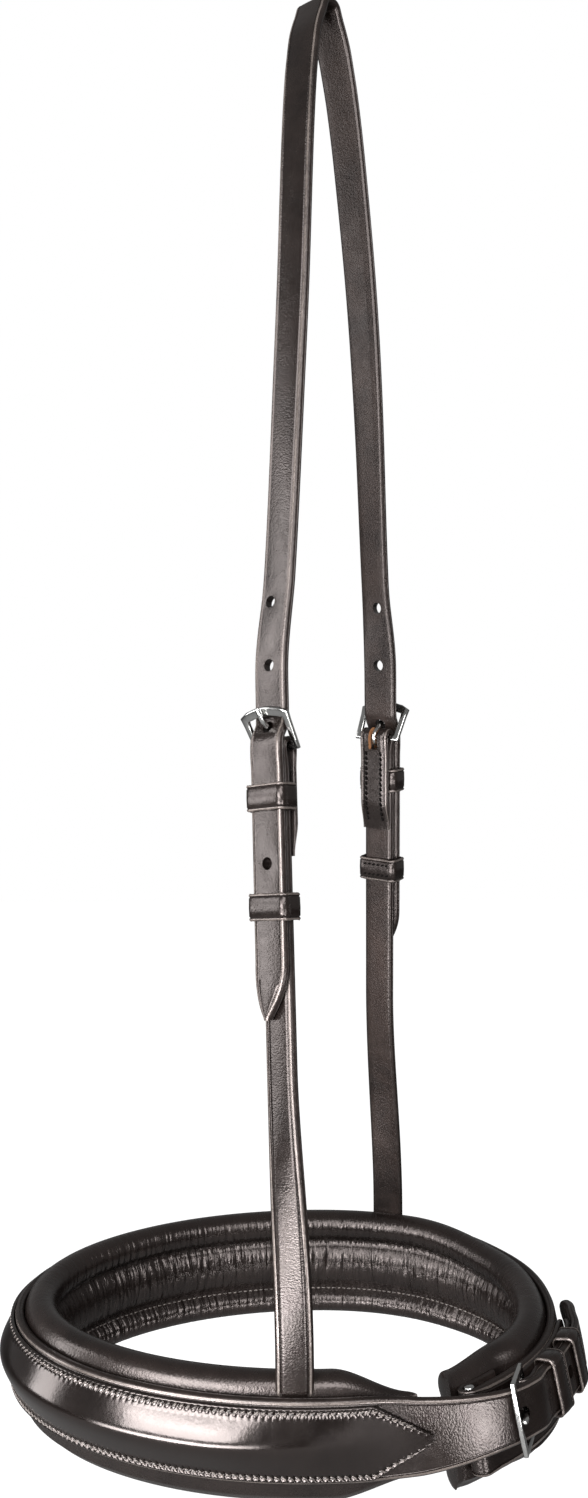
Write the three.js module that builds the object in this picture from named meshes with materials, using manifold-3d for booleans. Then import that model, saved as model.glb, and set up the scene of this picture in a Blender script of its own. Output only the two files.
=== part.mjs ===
// Padded, raised cavesson noseband on its own headstrap, as it hangs from its crown.
// Units are millimetres and +Z is up. The origin is on the underside of the headstrap's crown.
// The nose is toward -Y, the chin toward +Y, and the horse's near (left) side toward +X.
import * as THREE from "three";
import { mergeVertices } from "three/addons/utils/BufferGeometryUtils.js";
import Module from "manifold-3d";

const wasm = await Module();
wasm.setup();

// General clearances
const seatGap = 0.3; // left between pieces that touch
const pocketGap = 0.6; // room round a cheek strap's end inside the pad
const cutOverrun = 3; // how far a cut runs past what it cuts

// Noseband loop, seen from above: two half ellipses that meet where the loop is widest
const noseReach = 120; // widest point forward to the nose
const chinReach = 99.8; // widest point back to the chin
const loopHalfWidth = 79;
const chinFullness = 2.15; // 2 is a true ellipse; more is squarer
const chinFlare = 11; // degrees that the noseband's upper edge leans in at the chin
const nearFlareReach = 135; // how far round from the chin's middle that lean goes, on the near side
const farFlareReach = 88; // and on the far side
const flareFade = 50; // length over which it dies out
const loopForward = 2; // how far the widest point lies in front of the crown
const nearCheekArc = 146.5; // along the loop from the foremost point to the near cheek strap
const farCheekArc = 199; // the same to the far cheek strap, the other way round
const nosebandDrop = 541; // crown down to the noseband strap's middle line

// Noseband strap
const bandHeight = 29.4;
const bandThickness = 3.5;
const chinHeelBack = 67.8; // from the chin's middle to the chin buckle's heel bar, on the near side
const chinPiecePast = 17.4; // how far the chin piece reaches past that heel bar to its end pin
const chinDroop = 4; // how much lower the free end of the chin piece hangs
const chinDroopLength = 110; // length over which it drops
const bandTaperBack = 65; // from the heel bar back to where the strap starts to narrow
const bandTaperLength = 62;
const chinBilletHeight = 18;
const chinBilletThickness = 3;
const chinBilletReach = 65; // from the heel bar to the tip of the chin billet
const chinClimb = 3.7; // degrees that the billet and its buckle climb toward the chin
const chinClimbBack = 43; // from the heel bar back to where they start to climb
const billetSplitBack = 57; // and back to where the billet starts to stand off the chin piece
const billetSplitLength = 55;
const billetTipShare = 0.06; // what is left of the billet's height at its tip, squared
const chinHolePitch = 29;
const chinHoleDiameter = 4.6;

// Nose cover and its filler
const coverNearBack = 39.2; // from the chin buckle's heel bar back to the cover's near point
const coverFarArc = 246.2; // from the foremost point round the far side to its far point
const coverHeight = 25.4;
const coverThickness = 1.3;
const coverSeat = 0.5; // between the cover's flat edge and the strap, which bend round the nose
const coverFlange = 3; // the flat edge that carries the stitches
const coverPointLength = 20;
const coverTipHeight = 3;
const fillerHeight = 4.2;
const fillerFade = 70; // length over which the raise dies out toward each point

// Padded lining: three rolls
const liningThickness = 1.1;
const coreGap = 0.6; // between the lining and the cores inside it
const topRollRadius = 6.3;
const bottomRollRadius = 6;
const centreRollReach = 8; // how far the centre roll's front is from its own middle
const padDepth = 12.8; // strap's inner face to the front of the rolls
const padTop = 20; // above the noseband's middle line
const padBottom = 25.5; // and below it
const valleyDepth = 3.9; // how far the sewn channels lie behind the rolls
const padNearBack = 41; // from the chin buckle's heel bar back to the pad's near end
const padChinPast = 7; // how far the pad reaches past the chin end pin
const padTaperLength = 32;
const padTipHeightShare = 0.62; // the near tip's height and depth against the full section's
const padTipDepthShare = 0.35;
const padChinBottomShare = 0.85; // the same for the part below the middle line at the chin end
const plainChinReach = 101; // from the pad's chin end back to where the rolls start to merge
const plainChinLength = 40;
const coreEndGap = 3; // how far the cores stop short of the pad's ends

// Headstrap and cheek straps
const headstrapWidth = 15.5;
const headstrapThickness = 3.5;
const crownFlatHalf = 1.6;
const crownBendRadius = 2.7;
const crownBendAngle = 62; // degrees
const cheekWidth = 13.6;
const cheekThickness = 3.5;
const cheekTurnbackThickness = 2;
const cheekTurnbackLength = 41;
const cheekSeatDepth = 22; // how far the cheek strap runs down behind the noseband strap
const heelDrop = 301; // crown down to the near buckle's heel bar
const farRise = 5; // how much higher the far buckle and the far side of the noseband hang
const billetLength = 99.5; // heel bar down to the billet's tip
const billetPointLength = 20;
const billetTipWidth = 2.4;
const strapHoleDiameter = 4.8;
const strapHolePitch = 25;
const buckleSpread = 46; // half the distance between the two buckles
const straightAbove = 30; // straight stretch of strap above the heel bar
const straightBelow = 118; // and below it
const strapLean = 14.2; // how far the straight stretch leans outward below the heel bar
const midlineShift = 7.4; // how far the straps' midpoint moves back at the end of that stretch

// Cheek buckles
const frameWidth = 23;
const frameHeelWidth = 21.5;
const frameLength = 17; // heel bar axis to the outside of the front bar
const frameFrontBar = 3.6;
const frameSideBar = 2.5;
const frameThickness = 1.8;
const frameBow = 2.2; // how far the front bar bows out
const frameBevel = 0.35;
const heelBarWidth = 2.4;
const frameTilt = 30; // degrees off the strap
const foldThickness = 2.2; // leather where it folds round a heel bar
const tongueDiameter = 2.2;
const tongueOverhang = 0.8; // how far the tongue reaches past the front bar
const tongueCurl = 1.5 * Math.PI; // how far the tongue goes round its heel bar
const tongueSlotWidth = 4.4;
const barClearance = 0.6; // between the front bar and the strap under it

// Keepers and runners
const keeperBand = 10;
const keeperThickness = 1.2;
const keeperLegThickness = 1;
const keeperSlack = 0.4;
const keeperCorner = 1.6;
const keeperDrop = 19; // heel bar down to the middle of the fixed keeper
const runnerDrop = 59.5;

// Chin fastening
const chinLayerGap = 0.5; // between the layers, which bend round the chin
const chinChapeThickness = 1.8;
const chinChapeHeight = 17;
const chinChapeReach = 51; // from the heel bar to the end of the folded chape
const chinFrameHeight = 25;
const chinFrameLength = 17;
const chinFrameBar = 2.6;
const chinFrameTilt = 31; // degrees off the chin piece
const chinFrameBow = 0.8;
const chinKeeperReach = 14; // from the heel bar to the first keeper's middle
const chinKeeperSpacing = 15.5;
const chinKeeperBand = 9;
const chinTongueOverhang = 0.6;
const endPinDiameter = 4;
const endPinStand = 0.3; // how far the pin shows above the strap
const endFoldThickness = 1.9;
const endFoldLength = 16;

// How finely the shapes are stepped
const bandStep = 6.5;
const padStep = 17.5;
const coverStep = 11;
const strapStep = 9;
const bendStep = 4.5;
const fineStep = 3;
const bendSteps = 5;
const cornerSteps = 3;
const barSides = 8;
const edgeBevelShare = 0.16; // of a strap's thickness

// Places along the side straps above the straight stretch: the share of heelDrop down from the crown,
// and the share of buckleSpread out from the middle
const upperRouteShares = [
  [0.0130, 0.125], [0.0236, 0.160], [0.0445, 0.216], [0.0654, 0.250], [0.1086, 0.308],
  [0.1884, 0.380], [0.390, 0.515], [0.523, 0.600], [0.780, 0.815],
];
const midlineShares = [
  [0, 0], [0.125, 0.22], [0.26, 0.42], [0.4, 0.59], [0.55, 0.65], [0.8, 0.66], [1, 0.7], [1.4, 1],
];
// Turn about the vertical, as [share of heelDrop, degrees]: of the line between the two straps, and of each
// strap's face
const headingAngles = [[0, 40.6], [0.3, 41.2], [0.54, 40], [0.8, 35.2], [1, 32.2], [1.4, 23.5]];
const faceAngles = {
  1: [[0, 40.6], [0.4, 42], [0.8, 47], [0.9, 44], [1.4, 44]],
  [-1]: [[0, 40.6], [0.4, 46], [0.78, 54], [0.9, 38], [1.4, 38]],
};

const leather = { color: 0x2b2421, roughness: 0.5, metalness: 0 };
const liningLeather = { color: 0x332b28, roughness: 0.6, metalness: 0 };
const foam = { color: 0x8a8378, roughness: 0.95, metalness: 0 };
const steel = { color: 0xc9cacc, roughness: 0.2, metalness: 1 };

const noseband = new THREE.Group();

// Small maths helpers
const radians = (degrees) => degrees * Math.PI / 180;
const mix = (from, to, share) => from + (to - from) * share;
const between = (value) => Math.min(1, Math.max(0, value));
const ease = (value) => {
  const share = between(value);
  return share * share * (3 - 2 * share);
};
const vector = (x, y, z) => new THREE.Vector3(x, y, z);
const along = (origin, ...terms) => {
  const point = origin.clone();
  for (const [direction, distance] of terms) {
    point.addScaledVector(direction, distance);
  }
  return point;
};

// Smooth curve through a table of [place, value] rows, straight past its ends
function follow(table, place) {
  const rise = (i) => (table[i + 1][1] - table[i][1]) / (table[i + 1][0] - table[i][0]);
  const slope = (i) => {
    if (i === 0 || i === table.length - 1) {
      return rise(Math.min(i, table.length - 2));
    }
    const [before, after] = [rise(i - 1), rise(i)];
    return before * after > 0 ? 2 * before * after / (before + after) : 0;
  };
  let i = 0;
  while (i < table.length - 2 && place > table[i + 1][0]) {
    i += 1;
  }
  const [x0, y0] = table[i];
  const [x1, y1] = table[i + 1];
  const span = x1 - x0;
  if (place <= x0) {
    return y0 + slope(i) * (place - x0);
  }
  if (place >= x1) {
    return y1 + slope(i + 1) * (place - x1);
  }
  const t = (place - x0) / span;
  const h00 = (1 + 2 * t) * (1 - t) * (1 - t);
  const h10 = t * (1 - t) * (1 - t);
  const h01 = t * t * (3 - 2 * t);
  const h11 = t * t * (t - 1);
  return h00 * y0 + h10 * span * slope(i) + h01 * y1 + h11 * span * slope(i + 1);
}

// Evenly stepped places from one end to the other
function steps(from, to, spacing) {
  const count = Math.max(1, Math.round(Math.abs(to - from) / spacing));
  return Array.from({ length: count + 1 }, (unused, i) => mix(from, to, i / count));
}

// Solids
function closedBody(positions, triangles) {
  let volume = 0;
  const corner = (index) => vector(positions[3 * index], positions[3 * index + 1], positions[3 * index + 2]);
  for (let i = 0; i < triangles.length; i += 3) {
    const [a, b, c] = [corner(triangles[i]), corner(triangles[i + 1]), corner(triangles[i + 2])];
    volume += a.dot(b.cross(c));
  }
  if (volume < 0) {
    for (let i = 0; i < triangles.length; i += 3) {
      [triangles[i + 1], triangles[i + 2]] = [triangles[i + 2], triangles[i + 1]];
    }
  }
  const geometry = new THREE.BufferGeometry();
  geometry.setAttribute("position", new THREE.Float32BufferAttribute(positions, 3));
  geometry.setIndex(triangles);
  return geometry;
}

// Skin over rings of points that all run round the same way; outline is the flat shape of the end rings
function skin(rings, outline) {
  const sides = outline.length;
  const positions = rings.flat().flatMap((point) => point.toArray());
  const triangles = [];
  for (let r = 0; r + 1 < rings.length; r += 1) {
    for (let i = 0; i < sides; i += 1) {
      const j = (i + 1) % sides;
      const [a, b] = [r * sides + i, r * sides + j];
      triangles.push(a, b, b + sides, a, b + sides, a + sides);
    }
  }
  const last = (rings.length - 1) * sides;
  const reversed = THREE.ShapeUtils.isClockWise(outline);
  for (const corners of THREE.ShapeUtils.triangulateShape(outline, [])) {
    const [a, b, c] = reversed ? corners.reverse() : corners;
    triangles.push(c, b, a, last + a, last + b, last + c);
  }
  return closedBody(positions, triangles);
}

function toSolid(geometry) {
  const bare = geometry.clone();
  bare.deleteAttribute("normal");
  bare.deleteAttribute("uv");
  const merged = mergeVertices(bare);
  return new wasm.Manifold(new wasm.Mesh({
    numProp: 3,
    vertProperties: new Float32Array(merged.attributes.position.array),
    triVerts: new Uint32Array(merged.index.array),
  }));
}

function toGeometry(solid) {
  const mesh = solid.getMesh();
  const geometry = new THREE.BufferGeometry();
  geometry.setAttribute("position", new THREE.BufferAttribute(mesh.vertProperties, 3));
  geometry.setIndex(new THREE.BufferAttribute(mesh.triVerts, 1));
  return geometry;
}

function cut(geometry, tools) {
  let solid = toSolid(geometry);
  for (const tool of tools) {
    solid = solid.subtract(toSolid(tool));
  }
  return toGeometry(solid);
}

function addPiece(name, geometry, look) {
  const shown = geometry.index ? geometry.toNonIndexed() : geometry;
  shown.computeVertexNormals();
  const mesh = new THREE.Mesh(shown, new THREE.MeshStandardMaterial(look));
  mesh.name = name;
  noseband.add(mesh);
}

// Flat outline of a strap's section, with its edges eased: x across the strap, y through it
function strapOutline(width, thickness) {
  const bevel = thickness * edgeBevelShare;
  const [w, t] = [width / 2, thickness / 2];
  return [
    [w - bevel, -t], [w, -t + bevel], [w, t - bevel], [w - bevel, t],
    [-w + bevel, t], [-w, t - bevel], [-w, -t + bevel], [-w + bevel, -t],
  ].map(([x, y]) => new THREE.Vector2(x, y));
}

// A station holds a point, the direction across the strap and the direction out of its face
function ringAt(station, outline) {
  return outline.map((p) => along(station.point, [station.across, p.x], [station.out, p.y]));
}

function strapBody(stations) {
  const outlines = stations.map((s) => strapOutline(s.width, s.thickness));
  return skin(stations.map((s, i) => ringAt(s, outlines[i])), outlines[0]);
}

// Directions square to a run: across as near as may be to the one given, and out on the side given
function squareTo(run, across, toward) {
  const square = along(across, [run, -across.dot(run)]).normalize();
  const out = run.clone().cross(square);
  if (out.dot(toward) < 0) {
    out.negate();
  }
  return { across: square, out };
}

// Squares each station to the run of its neighbours
function settle(stations) {
  stations.forEach((station, i) => {
    const before = stations[Math.max(0, i - 1)].point;
    const after = stations[Math.min(stations.length - 1, i + 1)].point;
    const run = after.clone().sub(before).normalize();
    Object.assign(station, squareTo(run, station.across, station.toward));
  });
  return stations;
}

// A round bar from one point to another
function bar(from, to, diameter, sides = barSides) {
  const run = to.clone().sub(from);
  const geometry = new THREE.CylinderGeometry(diameter / 2, diameter / 2, run.length(), sides);
  const turn = new THREE.Quaternion().setFromUnitVectors(vector(0, 1, 0), run.clone().normalize());
  geometry.applyQuaternion(turn);
  const middle = from.clone().add(to).multiplyScalar(0.5);
  geometry.translate(middle.x, middle.y, middle.z);
  return geometry;
}

// A round cutter through leather of that thickness
function holeCutter(middle, direction, thickness, diameter) {
  const reach = thickness / 2 + cutOverrun;
  return bar(along(middle, [direction, -reach]), along(middle, [direction, reach]), diameter);
}

// A box laid along two directions at right angles and the one square to both
function slab(centre, first, second, sizes) {
  const geometry = new THREE.BoxGeometry(...sizes);
  const third = first.clone().cross(second);
  geometry.applyMatrix4(new THREE.Matrix4().makeBasis(first, second, third).setPosition(centre));
  return geometry;
}

// The noseband loop
const quarterSteps = 180;

// Each half is |x / width|^fullness + |y / reach|^fullness = 1
function loopHalf(turn) {
  if (Math.cos(turn) > 0) {
    return { reach: noseReach, fullness: 2 };
  }
  return { reach: chinReach, fullness: chinFullness };
}

function signedPower(value, power) {
  return Math.sign(value) * Math.abs(value) ** power;
}

function loopPlace(turn) {
  const { reach, fullness } = loopHalf(turn);
  return new THREE.Vector2(
    loopHalfWidth * signedPower(Math.sin(turn), 2 / fullness),
    -loopForward - reach * signedPower(Math.cos(turn), 2 / fullness),
  );
}

const loopTable = [[0, 0]];
for (let i = 1; i <= 2 * quarterSteps; i += 1) {
  const turn = i * Math.PI / (2 * quarterSteps);
  const step = loopPlace(turn).distanceTo(loopPlace(turn - Math.PI / (2 * quarterSteps)));
  loopTable.push([loopTable[i - 1][0] + step, turn]);
}
const halfLoop = loopTable[2 * quarterSteps][0];

// Places round the loop, as arcs from its foremost point: near side positive, or on the far side where said
const chinHeelArc = halfLoop - chinHeelBack;
const chinPieceArc = halfLoop + chinHeelBack + chinPiecePast; // far side
const padNearArc = chinHeelArc - padNearBack;
const padChinArc = chinPieceArc + padChinPast; // far side
const coverNearArc = chinHeelArc - coverNearBack;
const coverArcHalf = (coverNearArc + coverFarArc) / 2;
const noseMiddleArc = (coverNearArc - coverFarArc) / 2;
const chinBilletArc = chinHeelArc + chinBilletReach;

// The same place on the loop as an arc of at most half the loop either way
function wrapArc(arc) {
  return arc - Math.round(arc / (2 * halfLoop)) * 2 * halfLoop;
}

function loopTurn(arc) {
  const rest = wrapArc(arc);
  const distance = Math.abs(rest);
  let low = 0;
  let high = loopTable.length - 1;
  while (high - low > 1) {
    const middle = (low + high) >> 1;
    if (loopTable[middle][0] > distance) {
      high = middle;
    } else {
      low = middle;
    }
  }
  const share = (distance - loopTable[low][0]) / (loopTable[high][0] - loopTable[low][0]);
  return Math.sign(rest) * mix(loopTable[low][1], loopTable[high][1], share);
}

function flareAt(arc) {
  const place = wrapArc(arc);
  const reach = place > 0 ? nearFlareReach : farFlareReach;
  return radians(chinFlare) * ease((reach - halfLoop + Math.abs(place)) / flareFade);
}

// Directions at an arc from the foremost point, near side positive
function loopAxes(arc) {
  const turn = loopTurn(arc);
  const { reach, fullness } = loopHalf(turn);
  const power = 2 - 2 / fullness;
  const level = vector(
    signedPower(Math.sin(turn), power) / loopHalfWidth,
    -signedPower(Math.cos(turn), power) / reach,
    0,
  ).normalize();
  const flare = flareAt(arc);
  const upright = vector(0, 0, 1);
  const out = along(vector(0, 0, 0), [level, Math.cos(flare)], [upright, Math.sin(flare)]);
  const up = along(vector(0, 0, 0), [upright, Math.cos(flare)], [level, -Math.sin(flare)]);
  return { out, up, run: vector(-level.y, level.x, 0) };
}

// Point of the loop at an arc, moved outward and up the strap's face from the noseband's middle line
function loopPoint(arc, outward, height) {
  const flat = loopPlace(loopTurn(arc));
  const lift = farRise * (1 - flat.x / loopHalfWidth) / 2;
  const { out, up } = loopAxes(arc);
  return along(vector(flat.x, flat.y, lift - nosebandDrop), [out, outward], [up, height]);
}

// Layers on the outside of the chin piece
const chinSettleFolds = 3; // they come together over this many fold radii
const chinHeelRadius = Math.hypot(chinFrameBar, frameThickness) / 2 + seatGap;
const chinFoldRadius = chinHeelRadius + chinChapeThickness / 2;
const chinHeelOut = 2 * seatGap + Math.max(chinChapeThickness, tongueDiameter) + chinHeelRadius;
const chinLowerLayer = chinLayerGap + chinChapeThickness / 2;
const chinLegOut = 2 * chinLayerGap + chinChapeThickness + keeperLegThickness / 2;
const chinUpperLayer = chinLegOut + keeperLegThickness / 2 + chinLayerGap + chinChapeThickness / 2;
const billetLift = 2 * seatGap + chinBilletThickness / 2;
const chinBilletOut = chinHeelOut + chinHeelRadius + chinChapeThickness + billetLift;
const chinKeptOut = chinUpperLayer + chinChapeThickness / 2 + billetLift;
const chinSettledArc = chinHeelArc + chinSettleFolds * chinFoldRadius;
const settledAt = (arc) => ease((arc - chinHeelArc) / (chinSettledArc - chinHeelArc));
const climbAt = (arc) => Math.max(0, arc - chinHeelArc + chinClimbBack) * Math.tan(radians(chinClimb));

// How much lower the chin piece lies toward its free end
function droopAt(arc) {
  return chinDroop * between(1 - (chinPieceArc + arc) / chinDroopLength) ** 2;
}

// Noseband strap: from the fold round the end pin, round the far side and nose, to the chin billet's tip
function bandShape(arc) {
  const narrowing = ease((arc - chinHeelArc + bandTaperBack) / bandTaperLength);
  const pointing = between((arc - (chinBilletArc - chinBilletHeight)) / chinBilletHeight);
  const height = mix(bandHeight, chinBilletHeight, narrowing);
  const split = ease((arc - chinHeelArc + billetSplitBack) / billetSplitLength);
  const thickness = mix(bandThickness, chinBilletThickness, narrowing);
  const standing = mix(chinBilletOut, chinKeptOut, settledAt(arc));
  return {
    height: height * Math.sqrt(1 - (1 - billetTipShare) * pointing * pointing),
    thickness,
    outward: mix(-bandThickness / 2, standing, split),
    rise: climbAt(arc) - droopAt(arc),
  };
}

function bandStation(arc) {
  const shape = bandShape(arc);
  return {
    point: loopPoint(arc, shape.outward, shape.rise),
    across: loopAxes(arc).up,
    toward: loopAxes(arc).out,
    width: shape.height,
    thickness: shape.thickness,
  };
}

// Directions at the free end of the chin piece: along it, square to its face and up the pin
const onChinPiece = (arc, outward, height) => loopPoint(arc, outward, height - droopAt(arc));
const endRun = onChinPiece(bandStep - chinPieceArc, 0, 0).sub(onChinPiece(-chinPieceArc, 0, 0)).normalize();
const endAxes = squareTo(endRun, loopAxes(-chinPieceArc).up, loopAxes(-chinPieceArc).out);
const endFoldRadius = endPinDiameter / 2 + seatGap + endFoldThickness / 2;
const endPinIn = -bandThickness / 2 - endFoldRadius + endFoldThickness / 2;

function endFoldStations() {
  const centre = onChinPiece(-chinPieceArc, endPinIn, 0);
  const stations = [];
  const innerOut = endPinIn - endFoldRadius;
  for (const arc of steps(-chinPieceArc + endFoldLength, -chinPieceArc, bandStep).slice(0, -1)) {
    stations.push({ point: onChinPiece(arc, innerOut, 0), toward: loopAxes(arc).out.negate() });
  }
  for (let i = 0; i <= 2 * bendSteps; i += 1) {
    const angle = Math.PI * i / (2 * bendSteps);
    const radial = along(vector(0, 0, 0), [endAxes.out, -Math.cos(angle)], [endRun, -Math.sin(angle)]);
    stations.push({ point: along(centre, [radial, endFoldRadius]), toward: radial });
  }
  const size = { across: endAxes.across, width: bandHeight, thickness: endFoldThickness };
  return stations.map((station) => ({ ...station, ...size }));
}

function holeThroughBand(arc, diameter) {
  const station = bandStation(arc);
  return holeCutter(station.point, station.toward, station.thickness, diameter);
}

// Buckle frame: x along the heel bar, y from the heel bar to the front bar, z out of the frame's face
function frameShape(width, heelWidth, length, frontBar, sideBar, bow) {
  const [w, h] = [width / 2, heelWidth / 2];
  const back = -heelBarWidth / 2;
  const corner = sideBar;
  const outer = new THREE.Shape();
  outer.moveTo(-h, back);
  outer.lineTo(h, back);
  outer.lineTo(w, length - bow - corner);
  outer.quadraticCurveTo(w, length - bow, w - corner, length - bow + corner * bow / w);
  outer.quadraticCurveTo(0, length + bow, -w + corner, length - bow + corner * bow / w);
  outer.quadraticCurveTo(-w, length - bow, -w, length - bow - corner);
  outer.closePath();
  const inner = new THREE.Path();
  const [iw, ih] = [w - sideBar, h - sideBar];
  const front = length - frontBar;
  inner.moveTo(-ih, heelBarWidth / 2);
  inner.lineTo(-iw, front - bow);
  inner.quadraticCurveTo(0, front + bow, iw, front - bow);
  inner.lineTo(ih, heelBarWidth / 2);
  inner.closePath();
  outer.holes.push(inner);
  return outer;
}

function frameGeometry(shape) {
  const geometry = new THREE.ExtrudeGeometry(shape, {
    depth: frameThickness - 2 * frameBevel,
    bevelEnabled: true,
    bevelThickness: frameBevel,
    bevelSize: frameBevel,
    bevelOffset: -frameBevel,
    bevelSegments: 1,
    curveSegments: bendSteps,
  });
  geometry.translate(0, 0, -frameThickness / 2 + frameBevel);
  return geometry;
}

// Tongue in the plane across its heel bar: a curl round the bar, a straight shank to the inner edge of the
// front bar, and a tip that lies on the bar
function tongueGeometry(place, curlIn, { length, frontBar, angle: frameAngle, overhang }) {
  const curlRadius = curlIn + tongueDiameter / 2;
  const lift = frameThickness / 2 + seatGap + tongueDiameter / 2;
  const onFrame = (reach) => [
    reach * Math.cos(frameAngle) - lift * Math.sin(frameAngle),
    reach * Math.sin(frameAngle) + lift * Math.cos(frameAngle),
  ];
  const rest = onFrame(length - frontBar - tongueDiameter / 4);
  const tip = onFrame(length + overhang);
  const aim = Math.atan2(rest[1], rest[0]) + Math.asin(curlRadius / Math.hypot(...rest));
  const route = [];
  const curlSteps = 3 * bendSteps;
  for (let i = 0; i <= curlSteps; i += 1) {
    const angle = aim - Math.PI / 2 - mix(tongueCurl, 0, i / curlSteps);
    route.push([curlRadius * Math.cos(angle), curlRadius * Math.sin(angle), 1]);
  }
  const touch = route[route.length - 1];
  const nearRestShare = 0.93;
  const nearTipShare = 0.7;
  const tipWidthShare = 0.55;
  route.push([mix(touch[0], rest[0], nearRestShare), mix(touch[1], rest[1], nearRestShare), 1]);
  route.push([...rest, 1]);
  route.push([mix(rest[0], tip[0], nearTipShare), mix(rest[1], tip[1], nearTipShare), 1]);
  route.push([...tip, tipWidthShare]);
  const outline = Array.from({ length: barSides }, (unused, i) => {
    const angle = 2 * Math.PI * i / barSides;
    return new THREE.Vector2(Math.cos(angle), Math.sin(angle)).multiplyScalar(tongueDiameter / 2);
  });
  const rings = route.map(([x, y, share], i) => {
    const before = route[Math.max(0, i - 1)];
    const after = route[Math.min(route.length - 1, i + 1)];
    const run = new THREE.Vector2(after[0] - before[0], after[1] - before[1]).normalize();
    return outline.map((p) => place(x - run.y * p.y * share, y + run.x * p.y * share, p.x * share));
  });
  return { geometry: skin(rings, outline), touch, aim };
}

// Keeper or runner: a closed band round a strap; x across the strap, y out of it, z along it
function keeperGeometry(halfWide, backIn, backLeg, frontIn, frontLeg, band) {
  const outerHalf = halfWide + keeperThickness;
  const outerCorner = keeperCorner + keeperThickness / 2;
  const outer = roundedShape(-outerHalf, backIn - backLeg, outerHalf, frontIn + frontLeg, outerCorner);
  outer.holes.push(roundedShape(-halfWide, backIn, halfWide, frontIn, keeperCorner / 2));
  const settings = { depth: band, bevelEnabled: false, curveSegments: cornerSteps };
  const geometry = new THREE.ExtrudeGeometry(outer, settings);
  geometry.translate(0, 0, -band / 2);
  return geometry;
}

function roundedShape(left, bottom, right, top, corner) {
  const shape = new THREE.Shape();
  shape.moveTo(left + corner, bottom);
  shape.lineTo(right - corner, bottom);
  shape.quadraticCurveTo(right, bottom, right, bottom + corner);
  shape.lineTo(right, top - corner);
  shape.quadraticCurveTo(right, top, right - corner, top);
  shape.lineTo(left + corner, top);
  shape.quadraticCurveTo(left, top, left, top - corner);
  shape.lineTo(left, bottom + corner);
  shape.quadraticCurveTo(left, bottom, left + corner, bottom);
  return shape;
}

// Side straps
const routeTables = {};
for (const side of [1, -1]) {
  const heelDepth = side > 0 ? heelDrop : heelDrop - farRise;
  const spread = upperRouteShares.map(([drop, out]) => [drop * heelDepth, out * buckleSpread]);
  const heading = (depth) => radians(follow(headingAngles, depth / heelDepth));
  const midline = (depth) => midlineShift * follow(midlineShares, depth / heelDepth);
  const row = (depth, out) => {
    const angle = heading(depth);
    return [depth, side * out * Math.cos(angle), midline(depth) - side * out * Math.sin(angle)];
  };
  const upper = spread.map(([depth, out]) => row(depth, out));
  const start = row(heelDepth, buckleSpread);
  const end = row(heelDepth + straightBelow, buckleSpread + strapLean);
  const straight = [-straightAbove, -straightAbove / 2, straightBelow - straightAbove / 2, straightBelow];
  const rows = straight.map((below) => start.map((value, i) => mix(value, end[i], below / straightBelow)));
  const rootArc = side > 0 ? nearCheekArc : -farCheekArc;
  const rootOut = loopAxes(rootArc).out;
  const rootMiddle = loopPoint(rootArc, 0, 0);
  const edges = [-1, 1].map((end) => loopPoint(rootArc + end * cheekWidth / 2, 0, 0).sub(rootMiddle));
  const bow = Math.min(...edges.map((offset) => offset.dot(rootOut)));
  const rootIn = bow - bandThickness - seatGap - cheekThickness / 2;
  const root = loopPoint(rootArc, rootIn, padTop + seatGap);
  const seat = loopPoint(rootArc, rootIn, bandHeight / 2 - cheekSeatDepth);
  const all = [...upper, ...rows, [-root.z, root.x, root.y], [-seat.z, seat.x, seat.y]];
  routeTables[side] = {
    heelDepth,
    x: all.map(([depth, x]) => [depth, x]),
    y: all.map(([depth, , y]) => [depth, y]),
    rootOut,
    seatDepth: -seat.z,
    rootDepth: -root.z,
  };
}

function sideAxes(side, depth) {
  const table = routeTables[side];
  const turn = radians(follow(faceAngles[side], depth / table.heelDepth));
  const flatOut = vector(side * Math.cos(turn), -side * Math.sin(turn), 0);
  const straightEnd = table.heelDepth + straightBelow;
  const settled = ease((depth - straightEnd) / (table.rootDepth - straightEnd));
  const toward = along(vector(0, 0, 0), [flatOut, 1 - settled], [table.rootOut, settled]).normalize();
  const across = vector(-side * toward.y, side * toward.x, 0);
  return { point: vector(follow(table.x, depth), follow(table.y, depth), -depth), toward, across };
}

// Straight stretch at a buckle: a measured down the strap from the heel bar, n out of it, w across it
function buckleFrame(side) {
  const depth = routeTables[side].heelDepth;
  const here = sideAxes(side, depth);
  const below = sideAxes(side, depth + straightAbove / 2);
  const down = below.point.clone().sub(here.point).normalize();
  const { across, out } = squareTo(down, here.across, here.toward);
  const at = (a, n, w) => along(here.point, [down, a], [out, n], [across, w]);
  return { down, out, across, at };
}

// Layers of the cheek fastening, measured out from the cheek strap's middle
const heelRadius = Math.hypot(heelBarWidth, frameThickness) / 2 + seatGap;
const foldRadius = heelRadius + foldThickness / 2;
const foldSettle = 3 * foldRadius; // length below the heel bar over which the layers come together
const heelOut = -foldRadius + cheekThickness / 2 - foldThickness / 2 + seatGap;
const legIn = -cheekThickness / 2 - seatGap;
const turnbackIn = legIn - keeperLegThickness - seatGap - cheekTurnbackThickness / 2;
const billetOut = cheekThickness / 2 + seatGap + headstrapThickness / 2;
const billetOverHeel = heelOut + heelRadius + foldThickness + seatGap + headstrapThickness / 2;
const tilt = radians(frameTilt);
const innerBarEdge = frameLength - frameFrontBar - frameBow;
const billetAtBar = heelOut + innerBarEdge * Math.sin(tilt) - frameThickness / 2 * Math.cos(tilt)
  - barClearance - headstrapThickness / 2;
const billetLifts = [
  [-3 * straightAbove, 0], [-2 * straightAbove, 0], [-innerBarEdge * Math.cos(tilt), billetAtBar],
  [-heelRadius, billetOverHeel - seatGap / 2], [foldRadius, billetOverHeel], [foldSettle, billetOut],
  [keeperDrop, billetOut], [billetLength + straightAbove, billetOut],
];

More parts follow.
